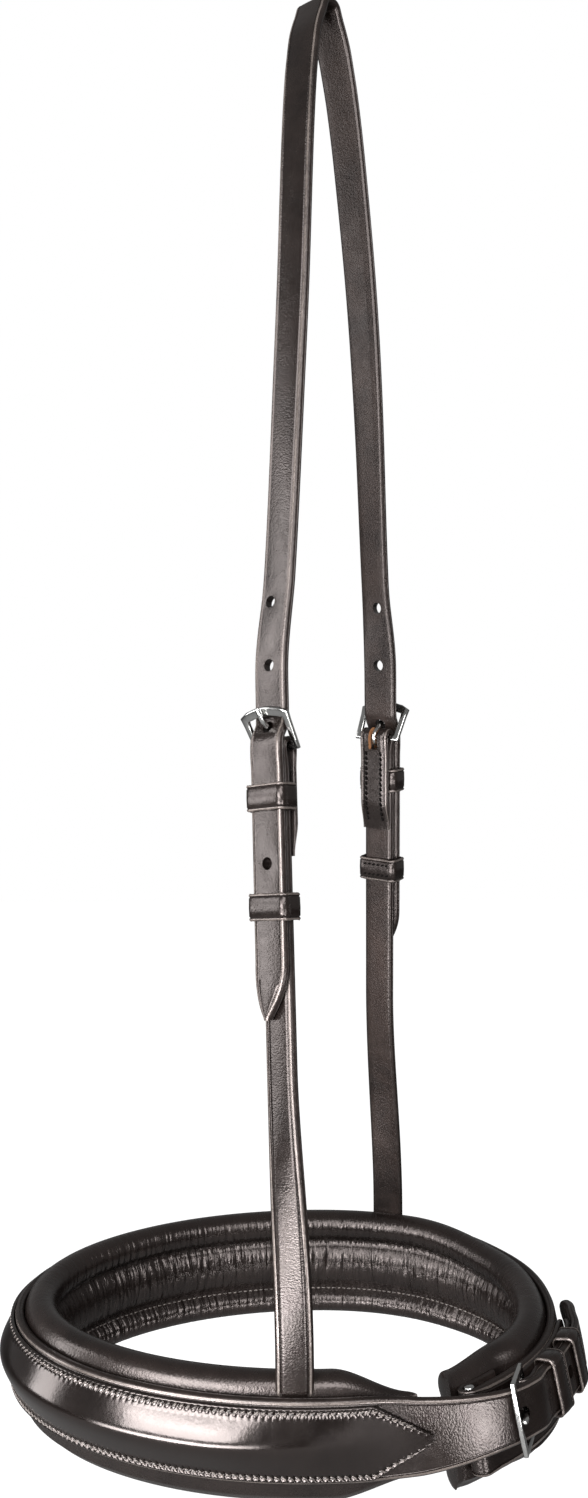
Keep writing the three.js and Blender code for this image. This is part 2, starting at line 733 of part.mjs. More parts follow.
function headstrapSide(side) {
  const table = routeTables[side];
  const stations = [];
  const first = table.x[0][0];
  const nearCrown = first + straightAbove;
  const buckleDepth = table.heelDepth - straightAbove;
  const keeperDepth = table.heelDepth + keeperDrop;
  const tipDepth = table.heelDepth + billetLength;
  const pointDepth = tipDepth - billetPointLength;
  const depths = [
    ...steps(first, nearCrown, bendStep).slice(0, -1),
    ...steps(nearCrown, buckleDepth, strapStep).slice(0, -1),
    ...steps(buckleDepth, keeperDepth, fineStep).slice(0, -1),
    ...steps(keeperDepth, pointDepth, strapStep).slice(0, -1),
    ...steps(pointDepth, tipDepth, fineStep),
  ];
  for (const depth of depths) {
    const axes = sideAxes(side, depth);
    const below = depth - table.heelDepth;
    const lift = below < billetLifts[0][0] ? 0 : follow(billetLifts, below);
    const pointing = between((below - billetLength + billetPointLength) / billetPointLength);
    stations.push({
      ...axes,
      lift,
      width: mix(headstrapWidth, billetTipWidth, pointing * pointing),
      thickness: headstrapThickness,
    });
  }
  for (const station of settle(stations)) {
    station.point = along(station.point, [station.out, station.lift]);
  }
  return settle(stations);
}

// Crown: a short flat, then a bend down to the first station of each side
function crownStations() {
  const turn = radians(headingAngles[0][1]);
  const spreadDirection = vector(Math.cos(turn), -Math.sin(turn), 0);
  const across = vector(Math.sin(turn), Math.cos(turn), 0);
  const top = headstrapThickness / 2;
  const bendTo = radians(crownBendAngle);
  const stations = [];
  for (const side of [-1, 1]) {
    const bend = [];
    for (let i = 0; i <= bendSteps; i += 1) {
      const angle = bendTo * i / bendSteps;
      const outward = crownFlatHalf + crownBendRadius * Math.sin(angle);
      const height = top - crownBendRadius * (1 - Math.cos(angle));
      bend.push({
        point: along(vector(0, 0, height), [spreadDirection, side * outward]),
        across,
        out: along(vector(0, 0, Math.cos(angle)), [spreadDirection, side * Math.sin(angle)]),
        width: headstrapWidth,
        thickness: headstrapThickness,
      });
    }
    stations.push(...(side < 0 ? bend.reverse() : bend));
  }
  return stations;
}

function strapHole(side, below, lean) {
  const local = buckleFrame(side);
  const middle = local.at(below, follow(billetLifts, below), 0);
  const direction = along(vector(0, 0, 0), [local.down, -Math.cos(lean)], [local.out, Math.sin(lean)]);
  return holeCutter(middle, direction, headstrapThickness, strapHoleDiameter);
}

// Where the tongue's shank crosses the billet, and how it leans there
function shankCrossing(tongue) {
  let best = { miss: Infinity };
  const [x0, y0] = tongue.touch;
  for (let i = 0; i <= quarterSteps; i += 1) {
    const reach = frameLength * i / quarterSteps;
    const place = [x0 + reach * Math.cos(tongue.aim), y0 + reach * Math.sin(tongue.aim)];
    const miss = Math.abs(heelOut + place[1] - follow(billetLifts, -place[0]));
    if (miss < best.miss) {
      best = { miss, below: -place[0] };
    }
  }
  return best.below;
}

function cheekTongue(side) {
  const local = buckleFrame(side);
  const place = (up, out, wide) => local.at(-up, heelOut + out, wide);
  const size = { length: frameLength, frontBar: frameFrontBar, angle: tilt, overhang: tongueOverhang };
  return tongueGeometry(place, heelRadius, size);
}

function headstrapBody() {
  const stations = [
    ...headstrapSide(-1).reverse(),
    ...crownStations(),
    ...headstrapSide(1),
  ];
  const holes = [];
  for (const side of [1, -1]) {
    const tongue = cheekTongue(side);
    const tongueHole = shankCrossing(tongue);
    for (const place of [-2, -1, 0, 1, 2]) {
      const lean = place === 0 ? tongue.aim : Math.PI / 2;
      holes.push(strapHole(side, tongueHole + place * strapHolePitch, lean));
    }
  }
  return cut(strapBody(stations), holes);
}

// Cheek strap: up from behind the noseband strap, round the heel bar, and back down its inner side
function cheekStrapBody(side) {
  const table = routeTables[side];
  const local = buckleFrame(side);
  const stations = [];
  const outerAtHeel = heelOut + foldRadius;
  const innerAtHeel = heelOut - foldRadius;
  for (const depth of steps(table.seatDepth, table.heelDepth + straightBelow, strapStep).slice(0, -1)) {
    const axes = sideAxes(side, depth);
    stations.push({ ...axes, width: cheekWidth, thickness: cheekThickness });
  }
  const comingUp = [
    ...steps(straightBelow, foldSettle, 2 * strapStep),
    ...steps(foldSettle, 0, foldRadius).slice(1, -1),
  ];
  for (const below of comingUp) {
    const share = ease(1 - below / foldSettle);
    stations.push({
      point: local.at(below, mix(0, outerAtHeel, share), 0),
      toward: local.out,
      across: local.across,
      width: cheekWidth,
      thickness: mix(cheekThickness, foldThickness, share),
    });
  }
  for (let i = 0; i <= 2 * bendSteps; i += 1) {
    const angle = Math.PI * i / (2 * bendSteps);
    const radial = along(vector(0, 0, 0), [local.out, Math.cos(angle)], [local.down, -Math.sin(angle)]);
    stations.push({
      point: along(local.at(0, heelOut, 0), [radial, foldRadius]),
      toward: radial,
      across: local.across,
      width: cheekWidth,
      thickness: foldThickness,
    });
  }
  const goingBack = [
    ...steps(0, foldSettle, foldRadius).slice(1),
    ...steps(foldSettle, cheekTurnbackLength, strapStep).slice(1),
  ];
  for (const below of goingBack) {
    const share = ease(below / foldSettle);
    stations.push({
      point: local.at(below, mix(innerAtHeel, turnbackIn, share), 0),
      toward: local.out.clone().negate(),
      across: local.across,
      width: cheekWidth,
      thickness: mix(foldThickness, cheekTurnbackThickness, share),
    });
  }
  const slotReach = 2 * (foldRadius + foldThickness);
  const slotSize = [tongueSlotWidth, slotReach, slotReach];
  const slot = slab(local.at(0, heelOut, 0), local.across, local.down, slotSize);
  return cut(strapBody(settle(stations)), [slot]);
}

function placeInFrame(geometry, origin, xAxis, yAxis, zAxis) {
  geometry.applyMatrix4(new THREE.Matrix4().makeBasis(xAxis, yAxis, zAxis).setPosition(origin));
  return geometry;
}

function cheekFrame(side) {
  const local = buckleFrame(side);
  const shape = frameShape(frameWidth, frameHeelWidth, frameLength, frameFrontBar, frameSideBar, frameBow);
  const forward = along(vector(0, 0, 0), [local.down, -Math.cos(tilt)], [local.out, Math.sin(tilt)]);
  const face = along(vector(0, 0, 0), [local.down, Math.sin(tilt)], [local.out, Math.cos(tilt)]);
  const across = forward.clone().cross(face);
  return placeInFrame(frameGeometry(shape), local.at(0, heelOut, 0), across, forward, face);
}

function sideKeeper(side, drop, backIn, backLeg) {
  const local = buckleFrame(side);
  const frontIn = billetOut + headstrapThickness / 2 + keeperSlack;
  const halfWide = headstrapWidth / 2 + keeperSlack;
  const geometry = keeperGeometry(halfWide, backIn, backLeg, frontIn, keeperThickness, keeperBand);
  const run = local.across.clone().cross(local.out);
  return placeInFrame(geometry, local.at(drop, 0, 0), local.across, local.out, run);
}

// Padded lining and its three foam cores. Each outline runs from the top back edge over the rolls to the
// bottom back edge: x is the depth inward from the strap's inner face, y the height.
function rollPoint(centreDepth, centreHeight, radiusDepth, radiusHeight, angle) {
  return [centreDepth + radiusDepth * Math.cos(angle), centreHeight + radiusHeight * Math.sin(angle)];
}

const rollAngles = {
  top: [150, 115, 80, 45, 10, -30],
  centre: [52, 18, -18, -52],
  bottom: [30, -10, -45, -80, -115, -150],
};

const topRoll = {
  depth: padDepth - topRollRadius,
  height: padTop - topRollRadius,
  reach: topRollRadius,
  half: topRollRadius,
};
const bottomRoll = {
  depth: padDepth - bottomRollRadius,
  height: bottomRollRadius - padBottom,
  reach: bottomRollRadius,
  half: bottomRollRadius,
};
const topChannel = padTop - 2 * topRollRadius;
const bottomChannel = 2 * bottomRollRadius - padBottom;
const centreRoll = {
  depth: padDepth - centreRollReach,
  height: (topChannel + bottomChannel) / 2,
  reach: centreRollReach,
  half: (topChannel - bottomChannel) / 2,
};

function padRows(inset, plain) {
  const valleyFront = mix(padDepth - valleyDepth, padDepth - seatGap, plain) - inset;
  const arch = (roll, angles) => angles.map((degrees) => (
    rollPoint(roll.depth, roll.height, roll.reach - inset, roll.half - inset, radians(degrees))
  ));
  return [
    ...arch(topRoll, rollAngles.top),
    [valleyFront, topChannel],
    ...arch(centreRoll, rollAngles.centre),
    [valleyFront, bottomChannel],
    ...arch(bottomRoll, rollAngles.bottom),
  ];
}


function padBack(arc) {
  const endStart = -chinPieceArc + endFoldLength + padStep;
  const pushed = -endPinIn + endFoldRadius + endFoldThickness / 2 - bandThickness;
  return -bandThickness - seatGap - pushed * ease((endStart - arc) / padStep);
}

function padPoint(arc, depth, height) {
  const full = ease((padNearArc - arc) / padTaperLength);
  const chinEnd = ease(1 - (padChinArc + arc) / plainChinReach);
  const inward = Math.max(0, depth) * mix(padTipDepthShare, 1, full);
  const bottomShare = height < 0 ? mix(1, padChinBottomShare, chinEnd) : 1;
  const rise = height * mix(padTipHeightShare, 1, full) * bottomShare;
  return onChinPiece(arc, padBack(arc) - inward, rise);
}

const padArcs = steps(padNearArc, -padChinArc, padStep);

function liningBody() {
  const outlineAt = (arc) => {
    const plain = ease((plainChinReach - padChinArc - arc) / plainChinLength);
    const front = padRows(0, plain);
    const back = padRows(liningThickness, plain).reverse();
    return [...front, ...back];
  };
  const rings = padArcs.map((arc) => outlineAt(arc).map(([depth, height]) => padPoint(arc, depth, height)));
  const outline = outlineAt(padArcs[0]).map(([depth, height]) => new THREE.Vector2(depth, height));
  return skin(rings, outline);
}

function coreBody(centreDepth, centreHeight, radiusDepth, radiusHeight) {
  const outlinePoints = Array.from({ length: barSides }, (unused, i) => {
    const angle = 2 * Math.PI * (i + 0.5) / barSides;
    return rollPoint(centreDepth, centreHeight, radiusDepth, radiusHeight, angle);
  });
  const arcs = [padNearArc - coreEndGap, ...padArcs.slice(1, -1), coreEndGap - padChinArc];
  const rings = arcs.map((arc) => outlinePoints.map(([depth, height]) => padPoint(arc, depth, height)));
  return skin(rings, outlinePoints.map(([x, y]) => new THREE.Vector2(x, y)));
}

// Room for a cheek strap's end between the noseband strap and the pad
function cheekPocket(side) {
  const table = routeTables[side];
  const root = sideAxes(side, table.seatDepth);
  const half = padTop;
  const thickness = cheekThickness + 2 * pocketGap;
  const up = vector(0, 0, 1);
  const centre = along(root.point, [up, half - seatGap], [root.toward, seatGap]);
  return slab(centre, root.across, up, [cheekWidth + pocketGap, 2 * half, thickness]);
}

// Nose cover and filler
function coverShape(arc) {
  const fromMiddle = Math.abs(arc - noseMiddleArc);
  const pointing = between((fromMiddle - coverArcHalf + coverPointLength) / coverPointLength);
  const raise = fillerHeight * ease((coverArcHalf - coverPointLength / 2 - fromMiddle) / fillerFade);
  return { height: mix(coverHeight, coverTipHeight, pointing), raise };
}

const domeShares = [-1, -0.8, -0.5, 0, 0.5, 0.8, 1];

function onBandFace(arc, out, up) {
  const shape = bandShape(arc);
  return loopPoint(arc, shape.outward + shape.thickness / 2 + out, shape.rise + up);
}

function coverBody() {
  const arcs = steps(noseMiddleArc - coverArcHalf, noseMiddleArc + coverArcHalf, coverStep);
  const outlineAt = (arc) => {
    const { height, raise } = coverShape(arc);
    const flangeShare = 1 - 2 * coverFlange / coverHeight;
    const dome = height / 2 * flangeShare;
    const domed = (out, half) => domeShares.map((share) => (
      [out + raise * Math.sqrt(1 - share * share), share * half]
    ));
    const front = domed(coverSeat + coverThickness, dome);
    const back = domed(coverSeat, dome - coverThickness / 2);
    return [
      [coverSeat, -height / 2], [coverSeat + coverThickness, -height / 2], ...front,
      [coverSeat + coverThickness, height / 2], [coverSeat, height / 2], ...back.reverse(),
    ];
  };
  const rings = arcs.map((arc) => outlineAt(arc).map(([out, up]) => onBandFace(arc, out, up)));
  return skin(rings, outlineAt(arcs[0]).map(([x, y]) => new THREE.Vector2(x, y)));
}

function fillerBody() {
  const half = coverArcHalf - coverPointLength / 2 - fillerFade / 2;
  const arcs = steps(noseMiddleArc - half, noseMiddleArc + half, coverStep);
  const outlineAt = (arc) => {
    const { raise } = coverShape(arc);
    const dome = coverHeight / 2 - coverFlange - coverThickness;
    const filled = raise - seatGap;
    return domeShares.map((share) => [coverSeat + filled * Math.sqrt(1 - share * share), share * dome]);
  };
  const rings = arcs.map((arc) => outlineAt(arc).map(([out, up]) => onBandFace(arc, out, up)));
  return skin(rings, outlineAt(arcs[0]).map(([x, y]) => new THREE.Vector2(x, y)));
}

// Chin fastening: the folded chape and the buckle sit on the outside of the chin piece
const chinTilt = radians(chinFrameTilt);

// Directions along the billet's climbing middle line at an arc, and points measured from it
function chinLocal(arc) {
  const middle = (place) => loopPoint(place, 0, climbAt(place));
  const origin = middle(arc);
  const run = middle(arc + chinFoldRadius).sub(middle(arc - chinFoldRadius)).normalize();
  const { across: up, out } = squareTo(run, loopAxes(arc).up, loopAxes(arc).out);
  const at = (forward, outward, height) => along(origin, [run, -forward], [out, outward], [up, height]);
  return { run, up, out, at };
}

// Places from the chin buckle's heel bar on, close together where the layers come down off the fold
function chinArcs(end) {
  const settling = steps(chinHeelArc, chinSettledArc, chinFoldRadius);
  return [...settling, ...steps(chinSettledArc, end, bandStep).slice(1)];
}

function chinChapeBody() {
  const heel = chinLocal(chinHeelArc);
  const stations = [];
  const layer = (arc, atHeel, kept) => chinLocal(arc).at(0, mix(atHeel, kept, settledAt(arc)), 0);
  const arcs = chinArcs(chinHeelArc + chinChapeReach).slice(1);
  for (const arc of arcs.toReversed()) {
    const point = layer(arc, chinHeelOut - chinFoldRadius, chinLowerLayer);
    stations.push({ point, across: loopAxes(arc).up, toward: loopAxes(arc).out.negate() });
  }
  for (let i = 0; i <= 2 * bendSteps; i += 1) {
    const angle = Math.PI * i / (2 * bendSteps);
    const radial = along(vector(0, 0, 0), [heel.out, -Math.cos(angle)], [heel.run, -Math.sin(angle)]);
    stations.push({
      point: along(heel.at(0, chinHeelOut, 0), [radial, chinFoldRadius]),
      across: heel.up,
      toward: radial,
    });
  }
  for (const arc of arcs) {
    const point = layer(arc, chinHeelOut + chinFoldRadius, chinUpperLayer);
    stations.push({ point, across: loopAxes(arc).up, toward: loopAxes(arc).out });
  }
  for (const station of stations) {
    station.width = chinChapeHeight;
    station.thickness = chinChapeThickness;
  }
  const slotReach = 2 * (chinFoldRadius + chinChapeThickness);
  const slot = slab(heel.at(0, chinHeelOut, 0), heel.up, heel.run, [tongueSlotWidth, slotReach, slotReach]);
  return cut(strapBody(settle(stations)), [slot]);
}

function chinFrame() {
  const heel = chinLocal(chinHeelArc);
  const [height, thick] = [chinFrameHeight, chinFrameBar];
  const shape = frameShape(height, height, chinFrameLength, thick, thick, chinFrameBow);
  const forward = along(vector(0, 0, 0), [heel.run, -Math.cos(chinTilt)], [heel.out, Math.sin(chinTilt)]);
  const face = along(vector(0, 0, 0), [heel.run, Math.sin(chinTilt)], [heel.out, Math.cos(chinTilt)]);
  const origin = heel.at(0, chinHeelOut, 0);
  return placeInFrame(frameGeometry(shape), origin, forward.clone().cross(face), forward, face);
}

function chinTongue() {
  const heel = chinLocal(chinHeelArc);
  const place = (forward, out, high) => heel.at(forward, chinHeelOut + out, high);
  return tongueGeometry(place, chinHeelRadius, {
    length: chinFrameLength,
    frontBar: chinFrameBar,
    angle: chinTilt,
    overhang: chinTongueOverhang,
  });
}

// The chin billet's middle seen from the buckle's heel bar, as [distance forward, distance out]
function chinBilletPlace(arc) {
  const heel = chinLocal(chinHeelArc);
  const offset = bandStation(arc).point.sub(heel.at(0, chinHeelOut, 0));
  return [-offset.dot(heel.run), offset.dot(heel.out)];
}

function chinTongueHole() {
  const heel = chinLocal(chinHeelArc);
  const tongue = chinTongue();
  const [x0, y0] = tongue.touch;
  let best = { miss: Infinity };
  for (const arc of steps(chinHeelArc - chinFrameLength, chinHeelArc, chinFrameLength / quarterSteps)) {
    const [forward, out] = chinBilletPlace(arc);
    const shank = y0 + (forward - x0) * Math.tan(tongue.aim);
    const miss = Math.abs(out - shank);
    if (forward > x0 && miss < best.miss) {
      best = { miss, arc };
    }
  }
  const [ahead, outward] = [-Math.cos(tongue.aim), Math.sin(tongue.aim)];
  const direction = along(vector(0, 0, 0), [heel.run, ahead], [heel.out, outward]);
  const middle = bandStation(best.arc).point;
  return { arc: best.arc, hole: holeCutter(middle, direction, bandThickness, chinHoleDiameter) };
}

function nosebandStrapBody() {
  const arcs = [...steps(-chinPieceArc, chinHeelArc, bandStep).slice(1, -1), ...chinArcs(chinBilletArc)];
  const stations = settle([...endFoldStations(), ...arcs.map(bandStation)]);
  const { arc, hole } = chinTongueHole();
  const spare = [1, 2].map((place) => holeThroughBand(arc + place * chinHolePitch, chinHoleDiameter));
  return cut(strapBody(stations), [hole, ...spare]);
}

function chinKeeper(arc) {
  const local = chinLocal(arc);
  const billet = bandShape(arc);
  const frontIn = billet.outward + billet.thickness / 2 + keeperSlack;
  const legFront = chinLegOut + keeperLegThickness / 2;
  const halfWide = chinBilletHeight / 2 + keeperSlack;
  const legBack = keeperLegThickness;
  const geometry = keeperGeometry(halfWide, legFront, legBack, frontIn, keeperThickness, chinKeeperBand);
  const across = local.out.clone().cross(local.run);
  return placeInFrame(geometry, local.at(0, 0, 0), across, local.out, local.run);
}

function endPin() {
  const half = bandHeight / 2;
  const middle = onChinPiece(-chinPieceArc, endPinIn, 0);
  const [bottom, top] = [endPinStand - half, endPinStand + half];
  return bar(
    along(middle, [endAxes.across, bottom]),
    along(middle, [endAxes.across, top]),
    endPinDiameter,
    2 * barSides,
  );
}

// Assembly
addPiece("headstrap", headstrapBody(), leather);
for (const [side, name] of [[1, "near"], [-1, "far"]]) {
  addPiece(`${name}_cheek_strap`, cheekStrapBody(side), leather);
  addPiece(`${name}_buckle_frame`, cheekFrame(side), steel);
  addPiece(`${name}_buckle_tongue`, cheekTongue(side).geometry, steel);
  addPiece(`${name}_fixed_keeper`, sideKeeper(side, keeperDrop, legIn, keeperLegThickness), leather);
  const runnerBack = -cheekThickness / 2 - keeperSlack;
  addPiece(`${name}_runner`, sideKeeper(side, runnerDrop, runnerBack, keeperThickness), leather);
}
addPiece("noseband_strap", nosebandStrapBody(), leather);
addPiece("nose_cover", coverBody(), leather);
addPiece("nose_filler", fillerBody(), foam);

const pockets = [cheekPocket(1), cheekPocket(-1)];
const coreInset = liningThickness + coreGap;
addPiece("padded_lining", cut(liningBody(), pockets), liningLeather);
const topCore = topRollRadius - coreInset;
addPiece("top_roll_core", cut(coreBody(topRoll.depth, topRoll.height, topCore, topCore), pockets), foam);
const centreCore = centreRoll.half - coreInset - seatGap;
const centreDepth = padDepth / 2;
const centreBody = coreBody(centreDepth, centreRoll.height, centreDepth - coreInset, centreCore);
addPiece("centre_roll_core", cut(centreBody, pockets), foam);
const bottomCore = bottomRollRadius - coreInset;
addPiece("bottom_roll_core", coreBody(bottomRoll.depth, bottomRoll.height, bottomCore, bottomCore), foam);

addPiece("chin_end_pin", endPin(), steel);
addPiece("chin_chape", chinChapeBody(), leather);
addPiece("chin_buckle_frame", chinFrame(), steel);
addPiece("chin_buckle_tongue", chinTongue().geometry, steel);
const firstKeeperArc = chinHeelArc + chinKeeperReach;
addPiece("chin_first_keeper", chinKeeper(firstKeeperArc), leather);
addPiece("chin_second_keeper", chinKeeper(firstKeeperArc + chinKeeperSpacing), leather);

export default noseband;
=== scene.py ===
import math

import bpy
import numpy as np
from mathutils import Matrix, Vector


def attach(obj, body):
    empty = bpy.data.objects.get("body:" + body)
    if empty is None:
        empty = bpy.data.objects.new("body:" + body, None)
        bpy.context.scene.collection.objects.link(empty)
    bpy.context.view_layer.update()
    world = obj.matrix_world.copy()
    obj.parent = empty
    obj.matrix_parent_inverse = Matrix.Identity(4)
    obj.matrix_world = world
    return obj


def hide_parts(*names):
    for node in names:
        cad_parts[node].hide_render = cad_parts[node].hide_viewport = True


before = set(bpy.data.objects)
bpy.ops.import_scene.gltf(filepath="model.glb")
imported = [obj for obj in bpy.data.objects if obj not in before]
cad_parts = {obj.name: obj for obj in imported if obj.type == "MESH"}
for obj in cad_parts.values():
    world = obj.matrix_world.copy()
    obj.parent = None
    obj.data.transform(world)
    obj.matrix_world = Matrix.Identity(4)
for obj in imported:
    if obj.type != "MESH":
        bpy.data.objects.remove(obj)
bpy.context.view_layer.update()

# Lengths are millimetres in the frame's own axes: +Z up, -Y the nose, +Y the chin, +X the near side
MM = 0.001  # in metres, which meshes are made in
SEAT = 0.3  # left between pieces that touch

# Noseband loop, seen from above
NOSE_REACH = 120
CHIN_REACH = 99.8
LOOP_HALF_WIDTH = 79
CHIN_FULLNESS = 2.15
CHIN_FLARE = 11
NEAR_FLARE_REACH = 135
FAR_FLARE_REACH = 88
FLARE_FADE = 50
LOOP_FORWARD = 2
NEAR_CHEEK_ARC = 146.5
FAR_CHEEK_ARC = 199
NOSEBAND_DROP = 541
FAR_RISE = 5

# Noseband strap
BAND_HEIGHT = 29.4
BAND_THICKNESS = 3.5
CHIN_HEEL_BACK = 67.8
CHIN_PIECE_PAST = 17.4
CHIN_DROOP = 4
CHIN_DROOP_LENGTH = 110
BAND_TAPER_BACK = 65
BAND_TAPER_LENGTH = 62
CHIN_BILLET_HEIGHT = 18
CHIN_BILLET_THICKNESS = 3
CHIN_BILLET_REACH = 65
CHIN_CLIMB = math.tan(math.radians(3.7))
CHIN_CLIMB_BACK = 43
SPLIT_BACK = 57
SPLIT_LENGTH = 55
HOLE_PITCH = 25
CHIN_HOLE_PITCH = 29
CHIN_HOLE_DIAMETER = 4.6
STRAP_HOLE_DIAMETER = 4.8
CHIN_POINT_SHARE = 0.94  # how much of the billet's width its point takes off

# Nose cover
COVER_NEAR_BACK = 39.2
COVER_FAR_ARC = 246.2
COVER_HEIGHT = 25.4
COVER_THICKNESS = 1.3
COVER_SEAT = 0.5
COVER_FLANGE = 3
COVER_POINT = 20
COVER_TIP = 3
FILLER_HEIGHT = 4.2
FILLER_FADE = 70

# Padded lining
TOP_RADIUS = 6.3
BOTTOM_RADIUS = 5.4
CENTRE_REACH = 8
PAD_DEPTH = 12.8
PAD_TOP = 20
PAD_BOTTOM = 25.5
VALLEY_DEPTH = 3.9
PAD_NEAR_BACK = 41
PAD_CHIN_PAST = 7
PAD_TAPER = 32
PAD_TIP_HEIGHT_SHARE = 0.62
PAD_TIP_DEPTH_SHARE = 0.35
PAD_CHIN_BOTTOM_SHARE = 0.85
PAD_CHIN_TOP_SHARE = 0.88
PLAIN_REACH = 101
PLAIN_LENGTH = 40

# Headstrap and cheek straps
HEADSTRAP_WIDTH = 15.5
HEADSTRAP_THICKNESS = 3.5
CROWN_FLAT_HALF = 1.6
CROWN_BEND_RADIUS = 2.7
CROWN_BEND = math.radians(62)
CHEEK_WIDTH = 13.6
CHEEK_THICKNESS = 3.5
TURNBACK_THICKNESS = 2
TURNBACK_LENGTH = 41
SKIVE_LENGTH = 13
SKIVE_THICKNESS = 0.7
CHEEK_SEAT_DEPTH = 22
HEEL_DROP = 301
BILLET_LENGTH = 99.5
BILLET_POINT = 20
BILLET_TIP = 2.4
TIP_SWAY = 2.6
SWAY_START = 78
BUCKLE_SPREAD = 46
STRAIGHT_ABOVE = 30
STRAIGHT_BELOW = 118
STRAP_LEAN = 14.2
MIDLINE_SHIFT = 7.4

# Cheek buckles
FRAME_WIDTH = 23
FRAME_HEEL_WIDTH = 21.5
FRAME_LENGTH = 17
FRONT_BAR = 3.6
SIDE_BAR = 2.5
FRAME_THICKNESS = 1.8
FRAME_BOW = 2.2
HEEL_BAR = 2.4
FRAME_TILT = math.radians(30)
FOLD_THICKNESS = 2.2
TONGUE_DIAMETER = 2.2
TONGUE_OVERHANG = 0.8
SLOT_WIDTH = 4.4
BAR_CLEARANCE = 0.6

# Keepers and runners
KEEPER_BAND = 10
KEEPER_THICKNESS = 1.2
KEEPER_LEG = 1
KEEPER_SLACK = 0.4
KEEPER_CORNER = 1.2  # inside, a little rounder than the solid's
KEEPER_DROP = 19
RUNNER_DROP = 59.5
RUNNER_SEAM_OFF = 2.3
RUNNER_SEAM_REACH = 5.6

# Chin fastening
CHIN_LAYER_GAP = 0.5
CHAPE_THICKNESS = 1.8
CHAPE_HEIGHT = 17
CHAPE_REACH = 51
CHIN_FRAME_HEIGHT = 25
CHIN_FRAME_LENGTH = 17
CHIN_FRAME_BAR = 2.6
CHIN_FRAME_TILT = math.radians(31)
CHIN_FRAME_BOW = 0.8
CHIN_KEEPER_REACH = 14
CHIN_KEEPER_SPACING = 15.5
CHIN_KEEPER_BAND = 9
CHIN_OVERHANG = 0.6
CHIN_LEAN = 1.8
CHIN_LEAN_LENGTH = 12
CHIN_TIP_LEAN = 2.3
CHAPE_POINT = 14
CHAPE_POINT_SHARE = 0.85  # how much of the chape's width its end takes off
CHAPE_CREASE = 0.2
PIN_DIAMETER = 4
PIN_STAND = 0.3
END_FOLD_THICKNESS = 1.9
END_FOLD_LENGTH = 16

UPPER_ROUTE = [
    (0.0130, 0.125), (0.0236, 0.160), (0.0445, 0.216), (0.0654, 0.250), (0.1086, 0.308),
    (0.1884, 0.380), (0.390, 0.515), (0.523, 0.600), (0.780, 0.815),
]
MIDLINE = [(0, 0), (0.125, 0.22), (0.26, 0.42), (0.4, 0.59), (0.55, 0.65), (0.8, 0.66), (1, 0.7), (1.4, 1)]
HEADING = [(0, 40.6), (0.3, 41.2), (0.54, 40), (0.8, 35.2), (1, 32.2), (1.4, 23.5)]
FACE = {
    1: [(0, 40.6), (0.4, 42), (0.8, 47), (0.9, 44), (1.4, 44)],
    -1: [(0, 40.6), (0.4, 46), (0.78, 54), (0.9, 38), (1.4, 38)],
}

# How finely the looks are stepped, finer than the solids
RUN_STEP = 2
FINE_STEP = 1
POINT_STEP = 0.4
SEARCH_STEP = 0.1
PAD_STEP = 0.75
CROWN_STEPS = 10
BEND_STEPS = 14

rng = np.random.default_rng(11)


# Small maths helpers
def vec(x, y, z):
    return np.array([x, y, z], float)


UPRIGHT = vec(0, 0, 1)


def mix(start, end, share):
    return start + (end - start) * share


def between(value):
    return min(1.0, max(0.0, value))


def ease(value):
    share = between(value)
    return share * share * (3 - 2 * share)


def unit(v):
    return v / np.linalg.norm(v)


def steps(start, end, spacing):
    count = max(1, round(abs(end - start) / spacing))
    return [mix(start, end, i / count) for i in range(count + 1)]


def signed_power(value, power):
    return math.copysign(abs(value) ** power, value)


# Cosine and sine at even steps round a circle
def circle(sides, offset=0):
    turns = [2 * math.pi * (k + offset) / sides for k in range(sides)]
    return [(math.cos(turn), math.sin(turn)) for turn in turns]


# Directions through half a turn that starts at the first and passes the reverse of the second
def half_turn(first, second):
    turns = [math.pi * i / BEND_STEPS for i in range(BEND_STEPS + 1)]
    return [first * math.cos(turn) - second * math.sin(turn) for turn in turns]


# Smooth curve through a table of (place, value) rows, straight past its ends
def follow(table, place):
    def rise(i):
        return (table[i + 1][1] - table[i][1]) / (table[i + 1][0] - table[i][0])

    def slope(i):
        if i == 0 or i == len(table) - 1:
            return rise(min(i, len(table) - 2))
        before, after = rise(i - 1), rise(i)
        return 2 * before * after / (before + after) if before * after > 0 else 0

    i = 0
    while i < len(table) - 2 and place > table[i + 1][0]:
        i += 1
    (x0, y0), (x1, y1) = table[i], table[i + 1]
    if place <= x0:
        return y0 + slope(i) * (place - x0)
    if place >= x1:
        return y1 + slope(i + 1) * (place - x1)
    span = x1 - x0
    t = (place - x0) / span
    return (
        (1 + 2 * t) * (1 - t) ** 2 * y0
        + t * (1 - t) ** 2 * span * slope(i)
        + t * t * (3 - 2 * t) * y1
        + t * t * (t - 1) * span * slope(i + 1)
    )


# The noseband loop: places and directions at an arc from the foremost point, near side positive
def loop_half(turn):
    return (NOSE_REACH, 2) if math.cos(turn) > 0 else (CHIN_REACH, CHIN_FULLNESS)


def loop_place(turn):
    reach, fullness = loop_half(turn)
    x = LOOP_HALF_WIDTH * signed_power(math.sin(turn), 2 / fullness)
    y = -LOOP_FORWARD - reach * signed_power(math.cos(turn), 2 / fullness)
    return x, y


LOOP_TURNS = [math.pi * i / 360 for i in range(361)]
LOOP_ARCS = [0.0]
for before, after in zip(LOOP_TURNS, LOOP_TURNS[1:]):
    LOOP_ARCS.append(LOOP_ARCS[-1] + math.dist(loop_place(before), loop_place(after)))
HALF_LOOP = LOOP_ARCS[-1]

